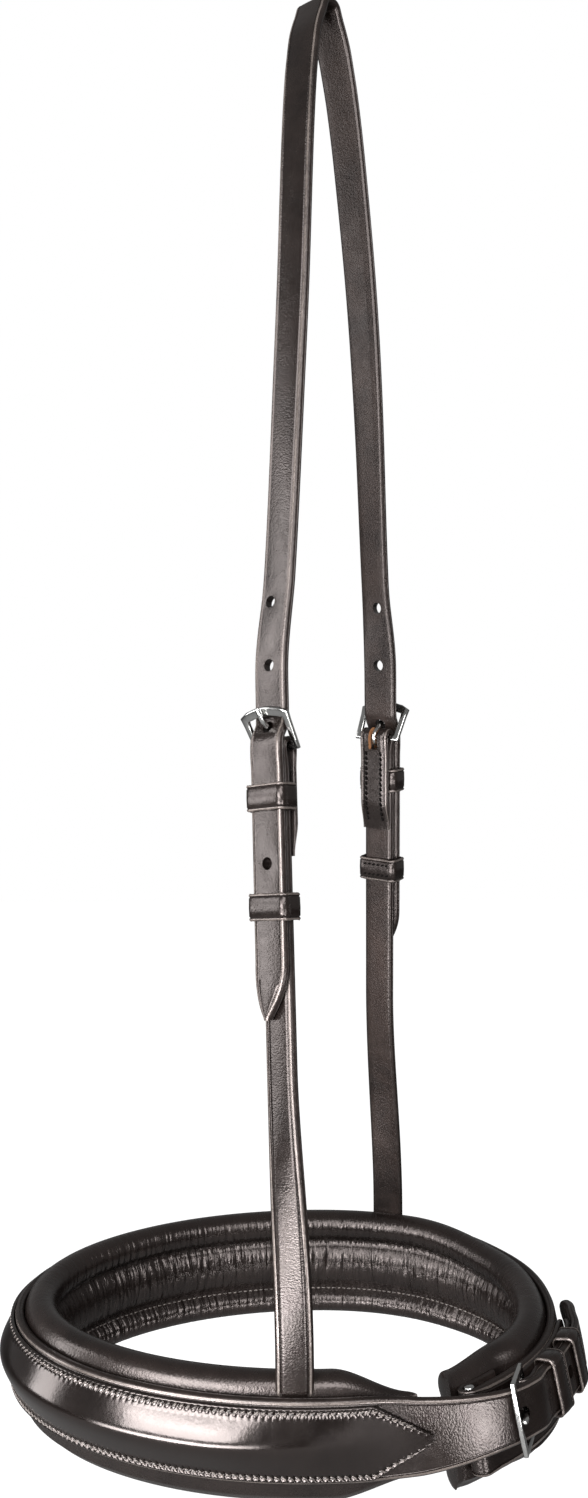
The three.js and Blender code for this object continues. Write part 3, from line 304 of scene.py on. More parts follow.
# Arcs from the foremost point, near side positive, or on the far side where said
CHIN_HEEL_ARC = HALF_LOOP - CHIN_HEEL_BACK
CHIN_PIECE_ARC = HALF_LOOP + CHIN_HEEL_BACK + CHIN_PIECE_PAST  # far side
PAD_NEAR_ARC = CHIN_HEEL_ARC - PAD_NEAR_BACK
PAD_CHIN_ARC = CHIN_PIECE_ARC + PAD_CHIN_PAST  # far side
COVER_HALF = (CHIN_HEEL_ARC - COVER_NEAR_BACK + COVER_FAR_ARC) / 2
COVER_MIDDLE = (CHIN_HEEL_ARC - COVER_NEAR_BACK - COVER_FAR_ARC) / 2
CHIN_BILLET_ARC = CHIN_HEEL_ARC + CHIN_BILLET_REACH


def wrap_arc(arc):
    return arc - round(arc / (2 * HALF_LOOP)) * 2 * HALF_LOOP


def loop_axes(arc):
    place = wrap_arc(arc)
    turn = math.copysign(float(np.interp(abs(place), LOOP_ARCS, LOOP_TURNS)), place)
    reach, fullness = loop_half(turn)
    power = 2 - 2 / fullness
    level = unit(vec(
        signed_power(math.sin(turn), power) / LOOP_HALF_WIDTH,
        -signed_power(math.cos(turn), power) / reach,
        0,
    ))
    flare_reach = NEAR_FLARE_REACH if place > 0 else FAR_FLARE_REACH
    flare = math.radians(CHIN_FLARE) * ease((flare_reach - HALF_LOOP + abs(place)) / FLARE_FADE)
    x, y = loop_place(turn)
    return {
        "middle": vec(x, y, FAR_RISE * (1 - x / LOOP_HALF_WIDTH) / 2 - NOSEBAND_DROP),
        "out": level * math.cos(flare) + UPRIGHT * math.sin(flare),
        "up": UPRIGHT * math.cos(flare) - level * math.sin(flare),
        "run": vec(-level[1], level[0], 0),
    }


def on_axes(axes, outward, height):
    return axes["middle"] + axes["out"] * outward + axes["up"] * height


def loop_point(arc, outward, height):
    return on_axes(loop_axes(arc), outward, height)


# Strap stations: a point, the direction across, the direction out of the face, a width and a thickness
def station_at(point, across, out, width, thickness):
    return {"point": point, "across": across, "out": out, "width": width, "thickness": thickness}


def square_to(run, across, toward):
    across = unit(across - run * np.dot(run, across))
    out = np.cross(run, across)
    return across, out if np.dot(out, toward) > 0 else -out


def settle(stations):
    points = [s["point"] for s in stations]
    for i, station in enumerate(stations):
        run = unit(points[min(i + 1, len(points) - 1)] - points[max(i - 1, 0)])
        station["across"], station["out"] = square_to(run, station["across"], station["out"])
    return stations


# Meshes
SHARP_ANGLE = math.radians(50)


def add_object(name, data):
    added = bpy.data.objects.new(name, data)
    bpy.context.scene.collection.objects.link(added)
    return added


def mesh_from(name, vertices, faces):
    mesh = bpy.data.meshes.new(name)
    mesh.from_pydata([tuple(v * MM) for v in vertices], [], faces)
    return mesh


def flip_if_inside_out(vertices, faces):
    volume = 0.0
    for face in faces:
        a = vertices[face[0]]
        for b, c in zip(face[1:], face[2:]):
            volume += np.dot(a, np.cross(vertices[b], vertices[c]))
    return [face[::-1] for face in faces] if volume < 0 else faces


def make_piece(name, vertices, faces, material, body, uvs=None):
    mesh = mesh_from(name, vertices, flip_if_inside_out(vertices, faces))
    if uvs is not None:
        layer = mesh.uv_layers.new(name="along")
        corners = np.empty(len(mesh.loops), int)
        mesh.loops.foreach_get("vertex_index", corners)
        layer.data.foreach_set("uv", (np.array(uvs)[corners] * MM).ravel())
    mesh.shade_smooth()
    mesh.set_sharp_from_angle(angle=SHARP_ANGLE)
    mesh.materials.append(material)
    piece = add_object(name, mesh)
    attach(piece, body)
    return piece


def run_lengths(points):
    return np.concatenate([[0], np.cumsum(np.linalg.norm(np.diff(points, axis=0), axis=1))])


# Skin over rings of points, with the distance along and around kept for the materials
def skin(rings, closed=False):
    rings = [np.asarray(ring) for ring in rings]
    sides = len(rings[0])
    count = len(rings)
    faces = []
    for r in range(count if closed else count - 1):
        for i in range(sides):
            j = (i + 1) % sides
            s = (r + 1) % count
            faces.append((r * sides + i, r * sides + j, s * sides + j, s * sides + i))
    if not closed:
        faces.append(tuple(range(sides - 1, -1, -1)))
        faces.append(tuple(range((count - 1) * sides, count * sides)))
    along = 0.0
    uvs = []
    for r, ring in enumerate(rings):
        if r:
            along += np.linalg.norm(ring.mean(axis=0) - rings[r - 1].mean(axis=0))
        uvs += [(along, around) for around in run_lengths(ring)]
    return np.concatenate(rings), faces, uvs


# Piece skinned over rings, in place of the CAD nodes named
def ring_piece(name, rings, material, body, nodes=(), looks=(), closed=False):
    vertices, faces, uvs = skin(rings, closed)
    piece = make_piece(name, vertices, faces, material, body, uvs)
    if looks:
        look_faces(piece, looks)
    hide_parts(*(nodes or (name,)))
    return piece


def ring_at(station, profile):
    return [station["point"] + station["across"] * x + station["out"] * y for x, y in profile]


# Section of a strap: round edges, a crease along each, a faint crown between, a line between two plies
EDGE_SHARE = 0.42
EDGE_MOST_SHARE = 0.8
EDGE_BULGE = 0.02
PLY_LINE = 0.16
CREASE_DEPTH = 0.42
CREASE_HALF_WIDTH = 0.42
CREASE_MARGIN = 0.08
CREASE_SHAPE = ((1, 0), (0.45, 0.75), (0, 1), (-0.45, 0.75), (-1, 0))
FULL_CREASE_HALF = 5  # half width below which creases and crown fade
FACE_CROWN = 0.16
BACK_POINTS = 3


def strap_profile(width, thickness, plies=1, crease=CREASE_DEPTH):
    half, deep = width / 2, thickness / 2
    fade = between(half / FULL_CREASE_HALF)
    edge = min(EDGE_SHARE * thickness, EDGE_MOST_SHARE * half)
    wide = CREASE_HALF_WIDTH * fade
    at = half - edge - wide - CREASE_MARGIN * fade
    middle = half - PLY_LINE if plies > 1 else half + EDGE_BULGE

    def edge_point(side, degrees):
        angle = math.radians(degrees)
        return half - edge + edge * math.cos(angle), side * (deep - edge) + edge * math.sin(angle)

    right = [edge_point(-1, degrees) for degrees in (-90, -60, -30)]
    right += [(half, -PLY_LINE), (middle, 0), (half, PLY_LINE)]
    right += [edge_point(1, degrees) for degrees in (30, 60, 90)]
    right += [(at + wide * share, deep - crease * fade * depth) for share, depth in CREASE_SHAPE]
    right += [(at * share, deep + FACE_CROWN * fade * (1 - share * share)) for share in (0.7, 0.35)]
    left = [(-x, y) for x, y in reversed(right)]
    back = [(mix(-half / 2, half / 2, i / (BACK_POINTS - 1)), -deep) for i in range(BACK_POINTS)]
    return right + [(0, deep + FACE_CROWN * fade)] + left + back


def join_solids(solids):
    vertices = []
    faces = []
    for points, sides in solids:
        start = len(vertices)
        vertices += list(points)
        faces += [tuple(start + i for i in face) for face in sides]
    return vertices, faces


# Cuts holes or slots out of a piece with the solids given
def punch(piece, solids):
    cutter = add_object("cutter", mesh_from("cutter", *join_solids(solids)))
    change = piece.modifiers.new("holes", "BOOLEAN")
    change.object = cutter
    change.operation = "DIFFERENCE"
    change.solver = "EXACT"
    bpy.context.view_layer.update()
    graph = bpy.context.evaluated_depsgraph_get()
    result = bpy.data.meshes.new_from_object(piece.evaluated_get(graph))
    piece.modifiers.clear()
    piece.data = result
    result.set_sharp_from_angle(angle=SHARP_ANGLE)
    bpy.data.objects.remove(cutter)


def rod_solid(start, end, diameter, sides=20):
    run = unit(end - start)
    first = unit(np.cross(run, vec(0.3, 0.5, 0.8)))
    second = np.cross(run, first)
    around = [first * x + second * y for x, y in circle(sides)]
    vertices, faces, _ = skin([[place + way * diameter / 2 for way in around] for place in (start, end)])
    return vertices, flip_if_inside_out(vertices, faces)


def box_solid(centre, first, second, sizes):
    halves = [way * size / 2 for way, size in zip((first, second, np.cross(first, second)), sizes)]
    signs = (-1, 1)
    corners = [
        centre + halves[0] * a + halves[1] * b + halves[2] * c for a in signs for b in signs for c in signs
    ]
    faces = [(0, 1, 3, 2), (4, 6, 7, 5), (0, 4, 5, 1), (2, 3, 7, 6), (0, 2, 6, 4), (1, 5, 7, 3)]
    return corners, flip_if_inside_out(corners, faces)


# The two side straps, down from the crown
def build_route(side):
    heel = HEEL_DROP if side > 0 else HEEL_DROP - FAR_RISE

    def row(depth, out):
        angle = math.radians(follow(HEADING, depth / heel))
        back = MIDLINE_SHIFT * follow(MIDLINE, depth / heel)
        return vec(depth, side * out * math.cos(angle), back - side * out * math.sin(angle))

    rows = [row(drop * heel, out * BUCKLE_SPREAD) for drop, out in UPPER_ROUTE]
    start = row(heel, BUCKLE_SPREAD)
    end = row(heel + STRAIGHT_BELOW, BUCKLE_SPREAD + STRAP_LEAN)
    for below in (-STRAIGHT_ABOVE, -STRAIGHT_ABOVE / 2, STRAIGHT_BELOW - STRAIGHT_ABOVE / 2, STRAIGHT_BELOW):
        rows.append(mix(start, end, below / STRAIGHT_BELOW))
    root_arc = NEAR_CHEEK_ARC if side > 0 else -FAR_CHEEK_ARC
    root_out = loop_axes(root_arc)["out"]
    middle = loop_point(root_arc, 0, 0)
    bow = [np.dot(loop_point(root_arc + s * CHEEK_WIDTH / 2, 0, 0) - middle, root_out) for s in (-1, 1)]
    root_in = min(bow) - BAND_THICKNESS - SEAT - CHEEK_THICKNESS / 2
    root = loop_point(root_arc, root_in, PAD_TOP + SEAT)
    seat = loop_point(root_arc, root_in, BAND_HEIGHT / 2 - CHEEK_SEAT_DEPTH)
    rows += [vec(-p[2], p[0], p[1]) for p in (root, seat)]
    return {
        "heel": heel,
        "x": [(r[0], r[1]) for r in rows],
        "y": [(r[0], r[2]) for r in rows],
        "root_out": root_out,
        "seat": -seat[2],
        "root": -root[2],
    }


ROUTES = {side: build_route(side) for side in (1, -1)}
SIDE_NAMES = {1: "near", -1: "far"}


def side_station(side, depth, width, thickness):
    route = ROUTES[side]
    turn = math.radians(follow(FACE[side], depth / route["heel"]))
    flat_out = vec(side * math.cos(turn), -side * math.sin(turn), 0)
    end = route["heel"] + STRAIGHT_BELOW
    settled = ease((depth - end) / (route["root"] - end))
    out = unit(mix(flat_out, route["root_out"], settled))
    point = vec(follow(route["x"], depth), follow(route["y"], depth), -depth)
    return station_at(point, vec(-side * out[1], side * out[0], 0), out, width, thickness)


# Directions at a cheek buckle, and points down the strap, out of it and across it from the heel bar's place
def cheek_place(side):
    depth = ROUTES[side]["heel"]
    here = side_station(side, depth, 0, 0)
    below = side_station(side, depth + STRAIGHT_ABOVE / 2, 0, 0)
    down = unit(below["point"] - here["point"])
    across, out = square_to(down, here["across"], here["out"])

    def at(a, n, w):
        return here["point"] + down * a + out * n + across * w

    return {"down": down, "out": out, "across": across, "at": at}


# Layers of the cheek fastening, out from the cheek strap's middle
HEEL_RADIUS = math.hypot(HEEL_BAR, FRAME_THICKNESS) / 2 + SEAT
FOLD_RADIUS = HEEL_RADIUS + FOLD_THICKNESS / 2
HEEL_OUT = -FOLD_RADIUS + CHEEK_THICKNESS / 2 - FOLD_THICKNESS / 2 + SEAT
LEG_IN = -CHEEK_THICKNESS / 2 - SEAT
TURNBACK_IN = LEG_IN - KEEPER_LEG - SEAT - TURNBACK_THICKNESS / 2
BILLET_OUT = CHEEK_THICKNESS / 2 + SEAT + HEADSTRAP_THICKNESS / 2
BILLET_OVER_HEEL = HEEL_OUT + HEEL_RADIUS + FOLD_THICKNESS + SEAT + HEADSTRAP_THICKNESS / 2
INNER_BAR_EDGE = FRAME_LENGTH - FRONT_BAR - FRAME_BOW
BILLET_AT_BAR = (
    HEEL_OUT + INNER_BAR_EDGE * math.sin(FRAME_TILT) - FRAME_THICKNESS / 2 * math.cos(FRAME_TILT)
    - BAR_CLEARANCE - HEADSTRAP_THICKNESS / 2
)
BILLET_LIFTS = [
    (-3 * STRAIGHT_ABOVE, 0),
    (-2 * STRAIGHT_ABOVE, 0),
    (-INNER_BAR_EDGE * math.cos(FRAME_TILT), BILLET_AT_BAR),
    (-HEEL_RADIUS, BILLET_OVER_HEEL - SEAT / 2),
    (FOLD_RADIUS, BILLET_OVER_HEEL),
    (3 * FOLD_RADIUS, BILLET_OUT),
    (KEEPER_DROP, BILLET_OUT),
    (BILLET_LENGTH + STRAIGHT_ABOVE, BILLET_OUT),
]


# Layers of the chin fastening, out from the chin piece's face
CHIN_HEEL_RADIUS = math.hypot(CHIN_FRAME_BAR, FRAME_THICKNESS) / 2 + SEAT
CHIN_FOLD_RADIUS = CHIN_HEEL_RADIUS + CHAPE_THICKNESS / 2
CHIN_HEEL_OUT = 2 * SEAT + max(CHAPE_THICKNESS, TONGUE_DIAMETER) + CHIN_HEEL_RADIUS
CHIN_LOWER = CHIN_LAYER_GAP + CHAPE_THICKNESS / 2
CHIN_LEG_OUT = 2 * CHIN_LAYER_GAP + CHAPE_THICKNESS + KEEPER_LEG / 2
CHIN_UPPER = CHIN_LEG_OUT + KEEPER_LEG / 2 + CHIN_LAYER_GAP + CHAPE_THICKNESS / 2
CHIN_BILLET_OUT = CHIN_HEEL_OUT + CHIN_HEEL_RADIUS + CHAPE_THICKNESS + 2 * SEAT + CHIN_BILLET_THICKNESS / 2
CHIN_KEPT_OUT = CHIN_UPPER + CHAPE_THICKNESS / 2 + 2 * SEAT + CHIN_BILLET_THICKNESS / 2
CHIN_SETTLED_ARC = CHIN_HEEL_ARC + 3 * CHIN_FOLD_RADIUS


def settled_at(arc):
    return ease((arc - CHIN_HEEL_ARC) / (CHIN_SETTLED_ARC - CHIN_HEEL_ARC))


# Past the second keeper the layers lean in toward the chin piece
def lean_in(arc):
    past = arc - CHIN_HEEL_ARC - CHIN_KEEPER_REACH - CHIN_KEEPER_SPACING - CHIN_KEEPER_BAND
    return CHIN_LEAN * ease(past / CHIN_LEAN_LENGTH)


# Past the chape the billet's tip leans in further
def tip_lean(arc):
    return CHIN_TIP_LEAN * ease((arc - CHIN_HEEL_ARC - CHAPE_REACH) / (CHIN_BILLET_REACH - CHAPE_REACH))


def climb_at(arc):
    return max(0, arc - CHIN_HEEL_ARC + CHIN_CLIMB_BACK) * CHIN_CLIMB


def droop_at(arc):
    return CHIN_DROOP * between(1 - (CHIN_PIECE_ARC + arc) / CHIN_DROOP_LENGTH) ** 2


def on_chin_piece(arc, outward, height):
    return loop_point(arc, outward, height - droop_at(arc))


def band_shape(arc):
    narrowing = ease((arc - CHIN_HEEL_ARC + BAND_TAPER_BACK) / BAND_TAPER_LENGTH)
    pointing = between((arc - (CHIN_BILLET_ARC - CHIN_BILLET_HEIGHT)) / CHIN_BILLET_HEIGHT)
    split = ease((arc - CHIN_HEEL_ARC + SPLIT_BACK) / SPLIT_LENGTH)
    standing = mix(CHIN_BILLET_OUT, CHIN_KEPT_OUT, settled_at(arc))
    height = mix(BAND_HEIGHT, CHIN_BILLET_HEIGHT, narrowing)
    return {
        "width": height * math.sqrt(1 - CHIN_POINT_SHARE * pointing * pointing),
        "thickness": mix(BAND_THICKNESS, CHIN_BILLET_THICKNESS, narrowing),
        "outward": mix(-BAND_THICKNESS / 2, standing, split) - lean_in(arc) - tip_lean(arc),
        "rise": climb_at(arc) - droop_at(arc),
    }


def band_station(arc):
    shape = band_shape(arc)
    axes = loop_axes(arc)
    point = on_axes(axes, shape["outward"], shape["rise"])
    return station_at(point, axes["up"], axes["out"], shape["width"], shape["thickness"])


END_RUN = unit(on_chin_piece(RUN_STEP - CHIN_PIECE_ARC, 0, 0) - on_chin_piece(-CHIN_PIECE_ARC, 0, 0))
END_ACROSS, END_OUT = square_to(END_RUN, loop_axes(-CHIN_PIECE_ARC)["up"], loop_axes(-CHIN_PIECE_ARC)["out"])
END_FOLD_RADIUS = PIN_DIAMETER / 2 + SEAT + END_FOLD_THICKNESS / 2
END_PIN_IN = -BAND_THICKNESS / 2 - END_FOLD_RADIUS + END_FOLD_THICKNESS / 2


# Directions along the chin billet's climbing middle line, and points back along it, out of it and up
def chin_place(arc):
    origin = loop_point(arc, 0, climb_at(arc))
    ahead = loop_point(arc + CHIN_FOLD_RADIUS, 0, climb_at(arc + CHIN_FOLD_RADIUS))
    behind = loop_point(arc - CHIN_FOLD_RADIUS, 0, climb_at(arc - CHIN_FOLD_RADIUS))
    run = unit(ahead - behind)
    up, out = square_to(run, loop_axes(arc)["up"], loop_axes(arc)["out"])

    def at(forward, outward, height):
        return origin - run * forward + out * outward + up * height

    return {"run": run, "up": up, "out": out, "at": at}


# Materials. Noise scales are per metre, bump distances in metres.
BLOTCH_SCALE = 45
PORE_SCALE = 1300
HANDLING_SCALE = 160
PORE_TONE_SHARE = 0.35
BLOTCH_BUMP = (0.12, 0.0008)
PORE_DISTANCE = 0.00008
WRINKLE_DISTORTION = 0.6
LEATHER_TINT = (1, 0.88, 0.85, 1)
SMEAR_SCALE = 260
RUB_SCALE = 2600
SMEAR_BUMP = (0.06, 0.0006)
RUB_BUMP = (0.05, 0.00005)
TWIST_SCALE = 900
TWIST_BUMP = (0.5, 0.0001)
NOSE_GATHER = (0.16, 0.25)
CHIN_GATHER = (0.44, 0.53)
TOP_GATHER = (0.012, 0.02)


def start_material(name):
    material = bpy.data.materials.new(name)
    material.use_nodes = True
    tree = material.node_tree
    return material, tree, tree.nodes["Principled BSDF"]


# Links each socket given to a node's input, and sets each plain value there
def feed(tree, node, inputs):
    for key, value in inputs.items():
        if isinstance(value, bpy.types.NodeSocket):
            tree.links.new(value, node.inputs[key])
        else:
            node.inputs[key].default_value = value


def make_node(tree, kind, inputs, **settings):
    node = tree.nodes.new(kind)
    for key, value in settings.items():
        setattr(node, key, value)
    feed(tree, node, inputs)
    return node


def object_place(tree):
    return tree.nodes.new("ShaderNodeTexCoord").outputs["Object"]


def noise(tree, place, scale, detail, roughness, distortion=0):
    inputs = {"Vector": place, "Scale": scale, "Detail": detail, "Roughness": roughness}
    inputs["Distortion"] = distortion
    return make_node(tree, "ShaderNodeTexNoise", inputs).outputs["Fac"]


def maths(tree, operation, *inputs):
    return make_node(tree, "ShaderNodeMath", dict(enumerate(inputs)), operation=operation).outputs["Value"]


def spread(tree, source, low, high, out_low, out_high):
    inputs = {"Value": source, "From Min": low, "From Max": high, "To Min": out_low, "To Max": out_high}
    return make_node(tree, "ShaderNodeMapRange", inputs).outputs["Result"]


def colours(tree, source, stops):
    node = make_node(tree, "ShaderNodeValToRGB", {"Fac": source})
    while len(node.color_ramp.elements) < len(stops):
        node.color_ramp.elements.new(0.5)
    for element, (place, colour) in zip(node.color_ramp.elements, stops):
        element.position = place
        element.color = (*colour, 1)
    return node.outputs["Color"]


def bumps(tree, heights):
    normal = None
    for source, strength, distance in heights:
        inputs = {"Height": source, "Strength": strength, "Distance": distance}
        if normal is not None:
            inputs["Normal"] = normal
        normal = make_node(tree, "ShaderNodeBump", inputs).outputs["Normal"]
    return normal


def place_along(tree):
    return make_node(tree, "ShaderNodeUVMap", {}, uv_map="along").outputs["UV"]


# Coordinates that run along a piece, so that a texture can be stretched across it
def stretched(tree, along, across):
    inputs = {"Vector": place_along(tree), "Scale": (1 / along, 1 / across, 1)}
    return make_node(tree, "ShaderNodeMapping", inputs).outputs["Vector"]


# The lining is gathered along the far side, less on its top roll, hardly on the near side and at the chin
def gathered_share(tree):
    split = make_node(tree, "ShaderNodeSeparateXYZ", {"Vector": place_along(tree)})
    after_nose = spread(tree, split.outputs["X"], *NOSE_GATHER, 0.1, 1)
    before_chin = spread(tree, split.outputs["X"], *CHIN_GATHER, 1, 0.15)
    below_top = spread(tree, split.outputs["Y"], *TOP_GATHER, 0.4, 1)
    return maths(tree, "MULTIPLY", maths(tree, "MULTIPLY", after_nose, before_chin), below_top)


# Leather: blotches of two browns, pores, pebbled grain, wrinkles that run across and a wandering roughness
def leather(name, dark, light, rough, shine, grain, grain_height, pore, wrinkle=None, wrinkle_height=0):
    material, tree, shader = start_material(name)
    place = object_place(tree)
    blotch = noise(tree, place, BLOTCH_SCALE, 5, 0.62)
    fine = noise(tree, place, PORE_SCALE, 3, 0.6)
    wander = noise(tree, place, HANDLING_SCALE, 4, 0.7)
    pebble = make_node(
        tree, "ShaderNodeTexVoronoi", {"Vector": stretched(tree, *grain), "Scale": 1, "Randomness": 1},
    )
    tone = maths(tree, "MULTIPLY_ADD", fine, PORE_TONE_SHARE, blotch)
    mean = [(a + b) / 2 for a, b in zip(dark, light)]
    heights = [
        (blotch, *BLOTCH_BUMP),
        (spread(tree, pebble.outputs["Distance"], 0, 1, 1, 0), 1, grain_height),
        (fine, pore, PORE_DISTANCE),
    ]
    if wrinkle:
        fold = noise(tree, stretched(tree, *wrinkle), 1, 3, 0.55, WRINKLE_DISTORTION)
        heights.append((maths(tree, "MULTIPLY", fold, gathered_share(tree)), 1, wrinkle_height))
    feed(tree, shader, {
        "Base Color": colours(tree, tone, ((0.45, dark), (0.66, mean), (0.92, light))),
        "Roughness": spread(tree, wander, 0.3, 0.7, *rough),
        "Normal": bumps(tree, heights),
        "Specular IOR Level": shine,
        "Specular Tint": LEATHER_TINT,
    })
    return material


def metal(name, rough, tint):
    material, tree, shader = start_material(name)
    smears = noise(tree, object_place(tree), SMEAR_SCALE, 6, 0.7)
    rubs = noise(tree, object_place(tree), RUB_SCALE, 2, 0.5)
    feed(tree, shader, {
        "Base Color": colours(tree, smears, ((0.3, [0.9 * c for c in tint]), (0.7, tint))),
        "Roughness": spread(tree, smears, 0.3, 0.7, *rough),
        "Normal": bumps(tree, ((smears, *SMEAR_BUMP), (rubs, *RUB_BUMP))),
        "Metallic": 1,
    })
    return material


def thread(name, dark, light, shine):
    material, tree, shader = start_material(name)
    inputs = {"Vector": object_place(tree), "Scale": TWIST_SCALE, "Distortion": 2.5, "Detail": 1}
    twist = make_node(tree, "ShaderNodeTexWave", inputs).outputs["Fac"]
    feed(tree, shader, {
        "Base Color": colours(tree, twist, ((0.2, dark), (0.8, light))),
        "Normal": bumps(tree, ((twist, *TWIST_BUMP),)),
        "Roughness": 0.42,
        "Specular IOR Level": shine,
    })
    return material


STRAP = leather("strap_leather", (0.0018, 0.0012, 0.001), (0.007, 0.0048, 0.0041), (0.18, 0.3), 0.5,
                (0.0006, 0.0009), 0.000045, 0.3)
EDGE = leather("strap_edge", (0.0026, 0.0018, 0.0015), (0.01, 0.007, 0.006), (0.24, 0.4), 0.42,
               (0.0016, 0.0012), 0.00006, 0.5)
# The rim is paler than the face: partly burnished wear, partly a painted highlight along each edge bead
RIM_WEAR_AND_SHEEN = leather("strap_rim_wear_and_painted_sheen", (0.016, 0.013, 0.0115), (0.095, 0.08, 0.072), (0.2, 0.34), 0.8,
              (0.0016, 0.0012), 0.00004, 0.5)
FLESH = leather("strap_back", (0.0006, 0.0004, 0.0004), (0.02, 0.014, 0.012), (0.26, 0.4), 0.24,
                (0.0009, 0.0007), 0.00006, 0.8)
FACING = leather("facing_leather", (0.0015, 0.001, 0.0009), (0.004, 0.0028, 0.0024), (0.13, 0.19), 0.6,
                 (0.0011, 0.0011), 0.000008, 0.1)
LINING = leather("lining_leather", (0.0024, 0.0016, 0.0014), (0.009, 0.0063, 0.0055), (0.22, 0.3), 0.52,
                 (0.0008, 0.001), 0.00005, 0.25, (0.0026, 0.02), 0.0011)
RAW = leather("raw_leather", (0.16, 0.07, 0.03), (0.36, 0.17, 0.08), (0.5, 0.7), 0.3,
              (0.0006, 0.0006), 0.0001, 0.6)
STEEL = metal("polished_steel", (0.1, 0.2), (0.5, 0.5, 0.49))
THREAD = thread("thread", (0.015, 0.012, 0.011), (0.13, 0.11, 0.1), 0.5)
# Near-black, barely shiny thread: partly the thread's own colour, partly painted shade of the dents the
# stitches pull into the leather
DARK_THREAD_AND_DENT_SHADE = thread("dark_thread_and_painted_dent_shade", (0.0006, 0.0005, 0.0005), (0.003, 0.0022, 0.002), 0.04)


# Which material each side of a section shows: face, edge, back and rim, whose paler colour is partly
# burnished wear and partly a painted highlight along the edge bead
FACE_LOOK, EDGE_LOOK, BACK_LOOK, RIM_WEAR_AND_SHEEN_LOOK = range(4)
EDGE_SIDES = 8


def look_faces(piece, sides):
    mesh = piece.data
    for material in (EDGE, FLESH, RIM_WEAR_AND_SHEEN):
        mesh.materials.append(material)
    around = len(sides)
    for polygon in mesh.polygons:
        polygon.material_index = EDGE_LOOK
        if len(polygon.vertices) == 4:
            places = sorted({v % around for v in list(polygon.vertices)[:3]})
            start = places[0] if places[-1] - places[0] == 1 else places[-1]
            polygon.material_index = sides[start]


def strap(name, stations, press=None, **look):
    profiles = [strap_profile(s["width"], s["thickness"], **look) for s in stations]
    rings = [ring_at(s, p) for s, p in zip(stations, profiles)]
    if press:
        press(rings, stations)
    around = len(profiles[0])
    left_first = around - BACK_POINTS - 1 - EDGE_SIDES
    looks = [FACE_LOOK] * around
    for first in (0, left_first):
        looks[first:first + EDGE_SIDES] = [EDGE_LOOK] * EDGE_SIDES
    # The faces on each edge bead get the rim, a paler colour that is partly a painted highlight
    for i in (EDGE_SIDES - 1, EDGE_SIDES, left_first, left_first - 1):
        looks[i] = RIM_WEAR_AND_SHEEN_LOOK
    looks[-BACK_POINTS - 1:] = [BACK_LOOK] * (BACK_POINTS + 1)
    return ring_piece(name, rings, STRAP, "strapwork", looks=looks)


# Leather sinks a little round a punched hole
PRESS_SHARE = 0.8  # of the hole's diameter
PRESS_REACH = 3
PRESS_DEPTH = 0.4
HOLE_CUT_REACH = 6
CHIN_CUT_OVERRUN = 3


def press_holes(middles, diameter):
    radius = diameter * PRESS_SHARE

    def press(rings, stations):
        for ring, station in zip(rings, stations):
            for i, point in enumerate(ring):
                if np.dot(point - station["point"], station["out"]) <= 0:
                    continue
                for middle in middles:
                    far = np.linalg.norm(point - middle)
                    if far < PRESS_REACH * radius:
                        ring[i] = ring[i] - station["out"] * PRESS_DEPTH * math.exp(-((far / radius) ** 2))

    return press


def follow_lift(below):
    return follow(BILLET_LIFTS, below)


def headstrap_side(side):
    heel = ROUTES[side]["heel"]
    first = ROUTES[side]["x"][0][0]
    last = heel + BILLET_LENGTH
    depths = steps(first, last - BILLET_POINT, RUN_STEP)[:-1]
    depths += steps(last - BILLET_POINT, last, FINE_STEP)
    stations = []
    for depth in depths:
        below = depth - heel
        pointing = between((below - BILLET_LENGTH + BILLET_POINT) / BILLET_POINT)
        width = mix(HEADSTRAP_WIDTH, BILLET_TIP, pointing * pointing)
        station = side_station(side, depth, width, HEADSTRAP_THICKNESS)
        station["lift"] = 0 if below < BILLET_LIFTS[0][0] else follow_lift(below)
        station["sway"] = -TIP_SWAY * ease((below - SWAY_START) / (BILLET_LENGTH - SWAY_START))
        stations.append(station)
    for station in settle(stations):
        station["point"] = station["point"] + station["out"] * station["lift"]
        station["point"] = station["point"] + station["across"] * station["sway"]
    return settle(stations)


def crown_stations():
    turn = math.radians(HEADING[0][1])
    spread_way = vec(math.cos(turn), -math.sin(turn), 0)
    across = vec(math.sin(turn), math.cos(turn), 0)
    top = HEADSTRAP_THICKNESS / 2
    stations = []
    for side in (-1, 1):
        bend = []
        for i in range(CROWN_STEPS + 1):
            angle = CROWN_BEND * i / CROWN_STEPS
            outward = CROWN_FLAT_HALF + CROWN_BEND_RADIUS * math.sin(angle)
            height = top - CROWN_BEND_RADIUS * (1 - math.cos(angle))
            point = vec(0, 0, height) + spread_way * side * outward
            out = UPRIGHT * math.cos(angle) + spread_way * side * math.sin(angle)
            bend.append(station_at(point, across, out, HEADSTRAP_WIDTH, HEADSTRAP_THICKNESS))
        stations += bend[::-1] if side < 0 else bend
    return stations


# Tongue in the plane across its heel bar: its route, where its curl ends and which way its shank goes
CURL_STEPS = 30
SHANK_SHARES = (0.15, 0.3, 0.45, 0.6, 0.75)
NECK_STEPS = 8
NECK_START_SHARE = 0.9
NECK_END_SHARE = 0.35
POINT_SIZES = ((0.5, 0.97), (0.65, 0.9), (0.8, 0.8), (0.9, 0.68), (0.96, 0.5), (1, 0.22))


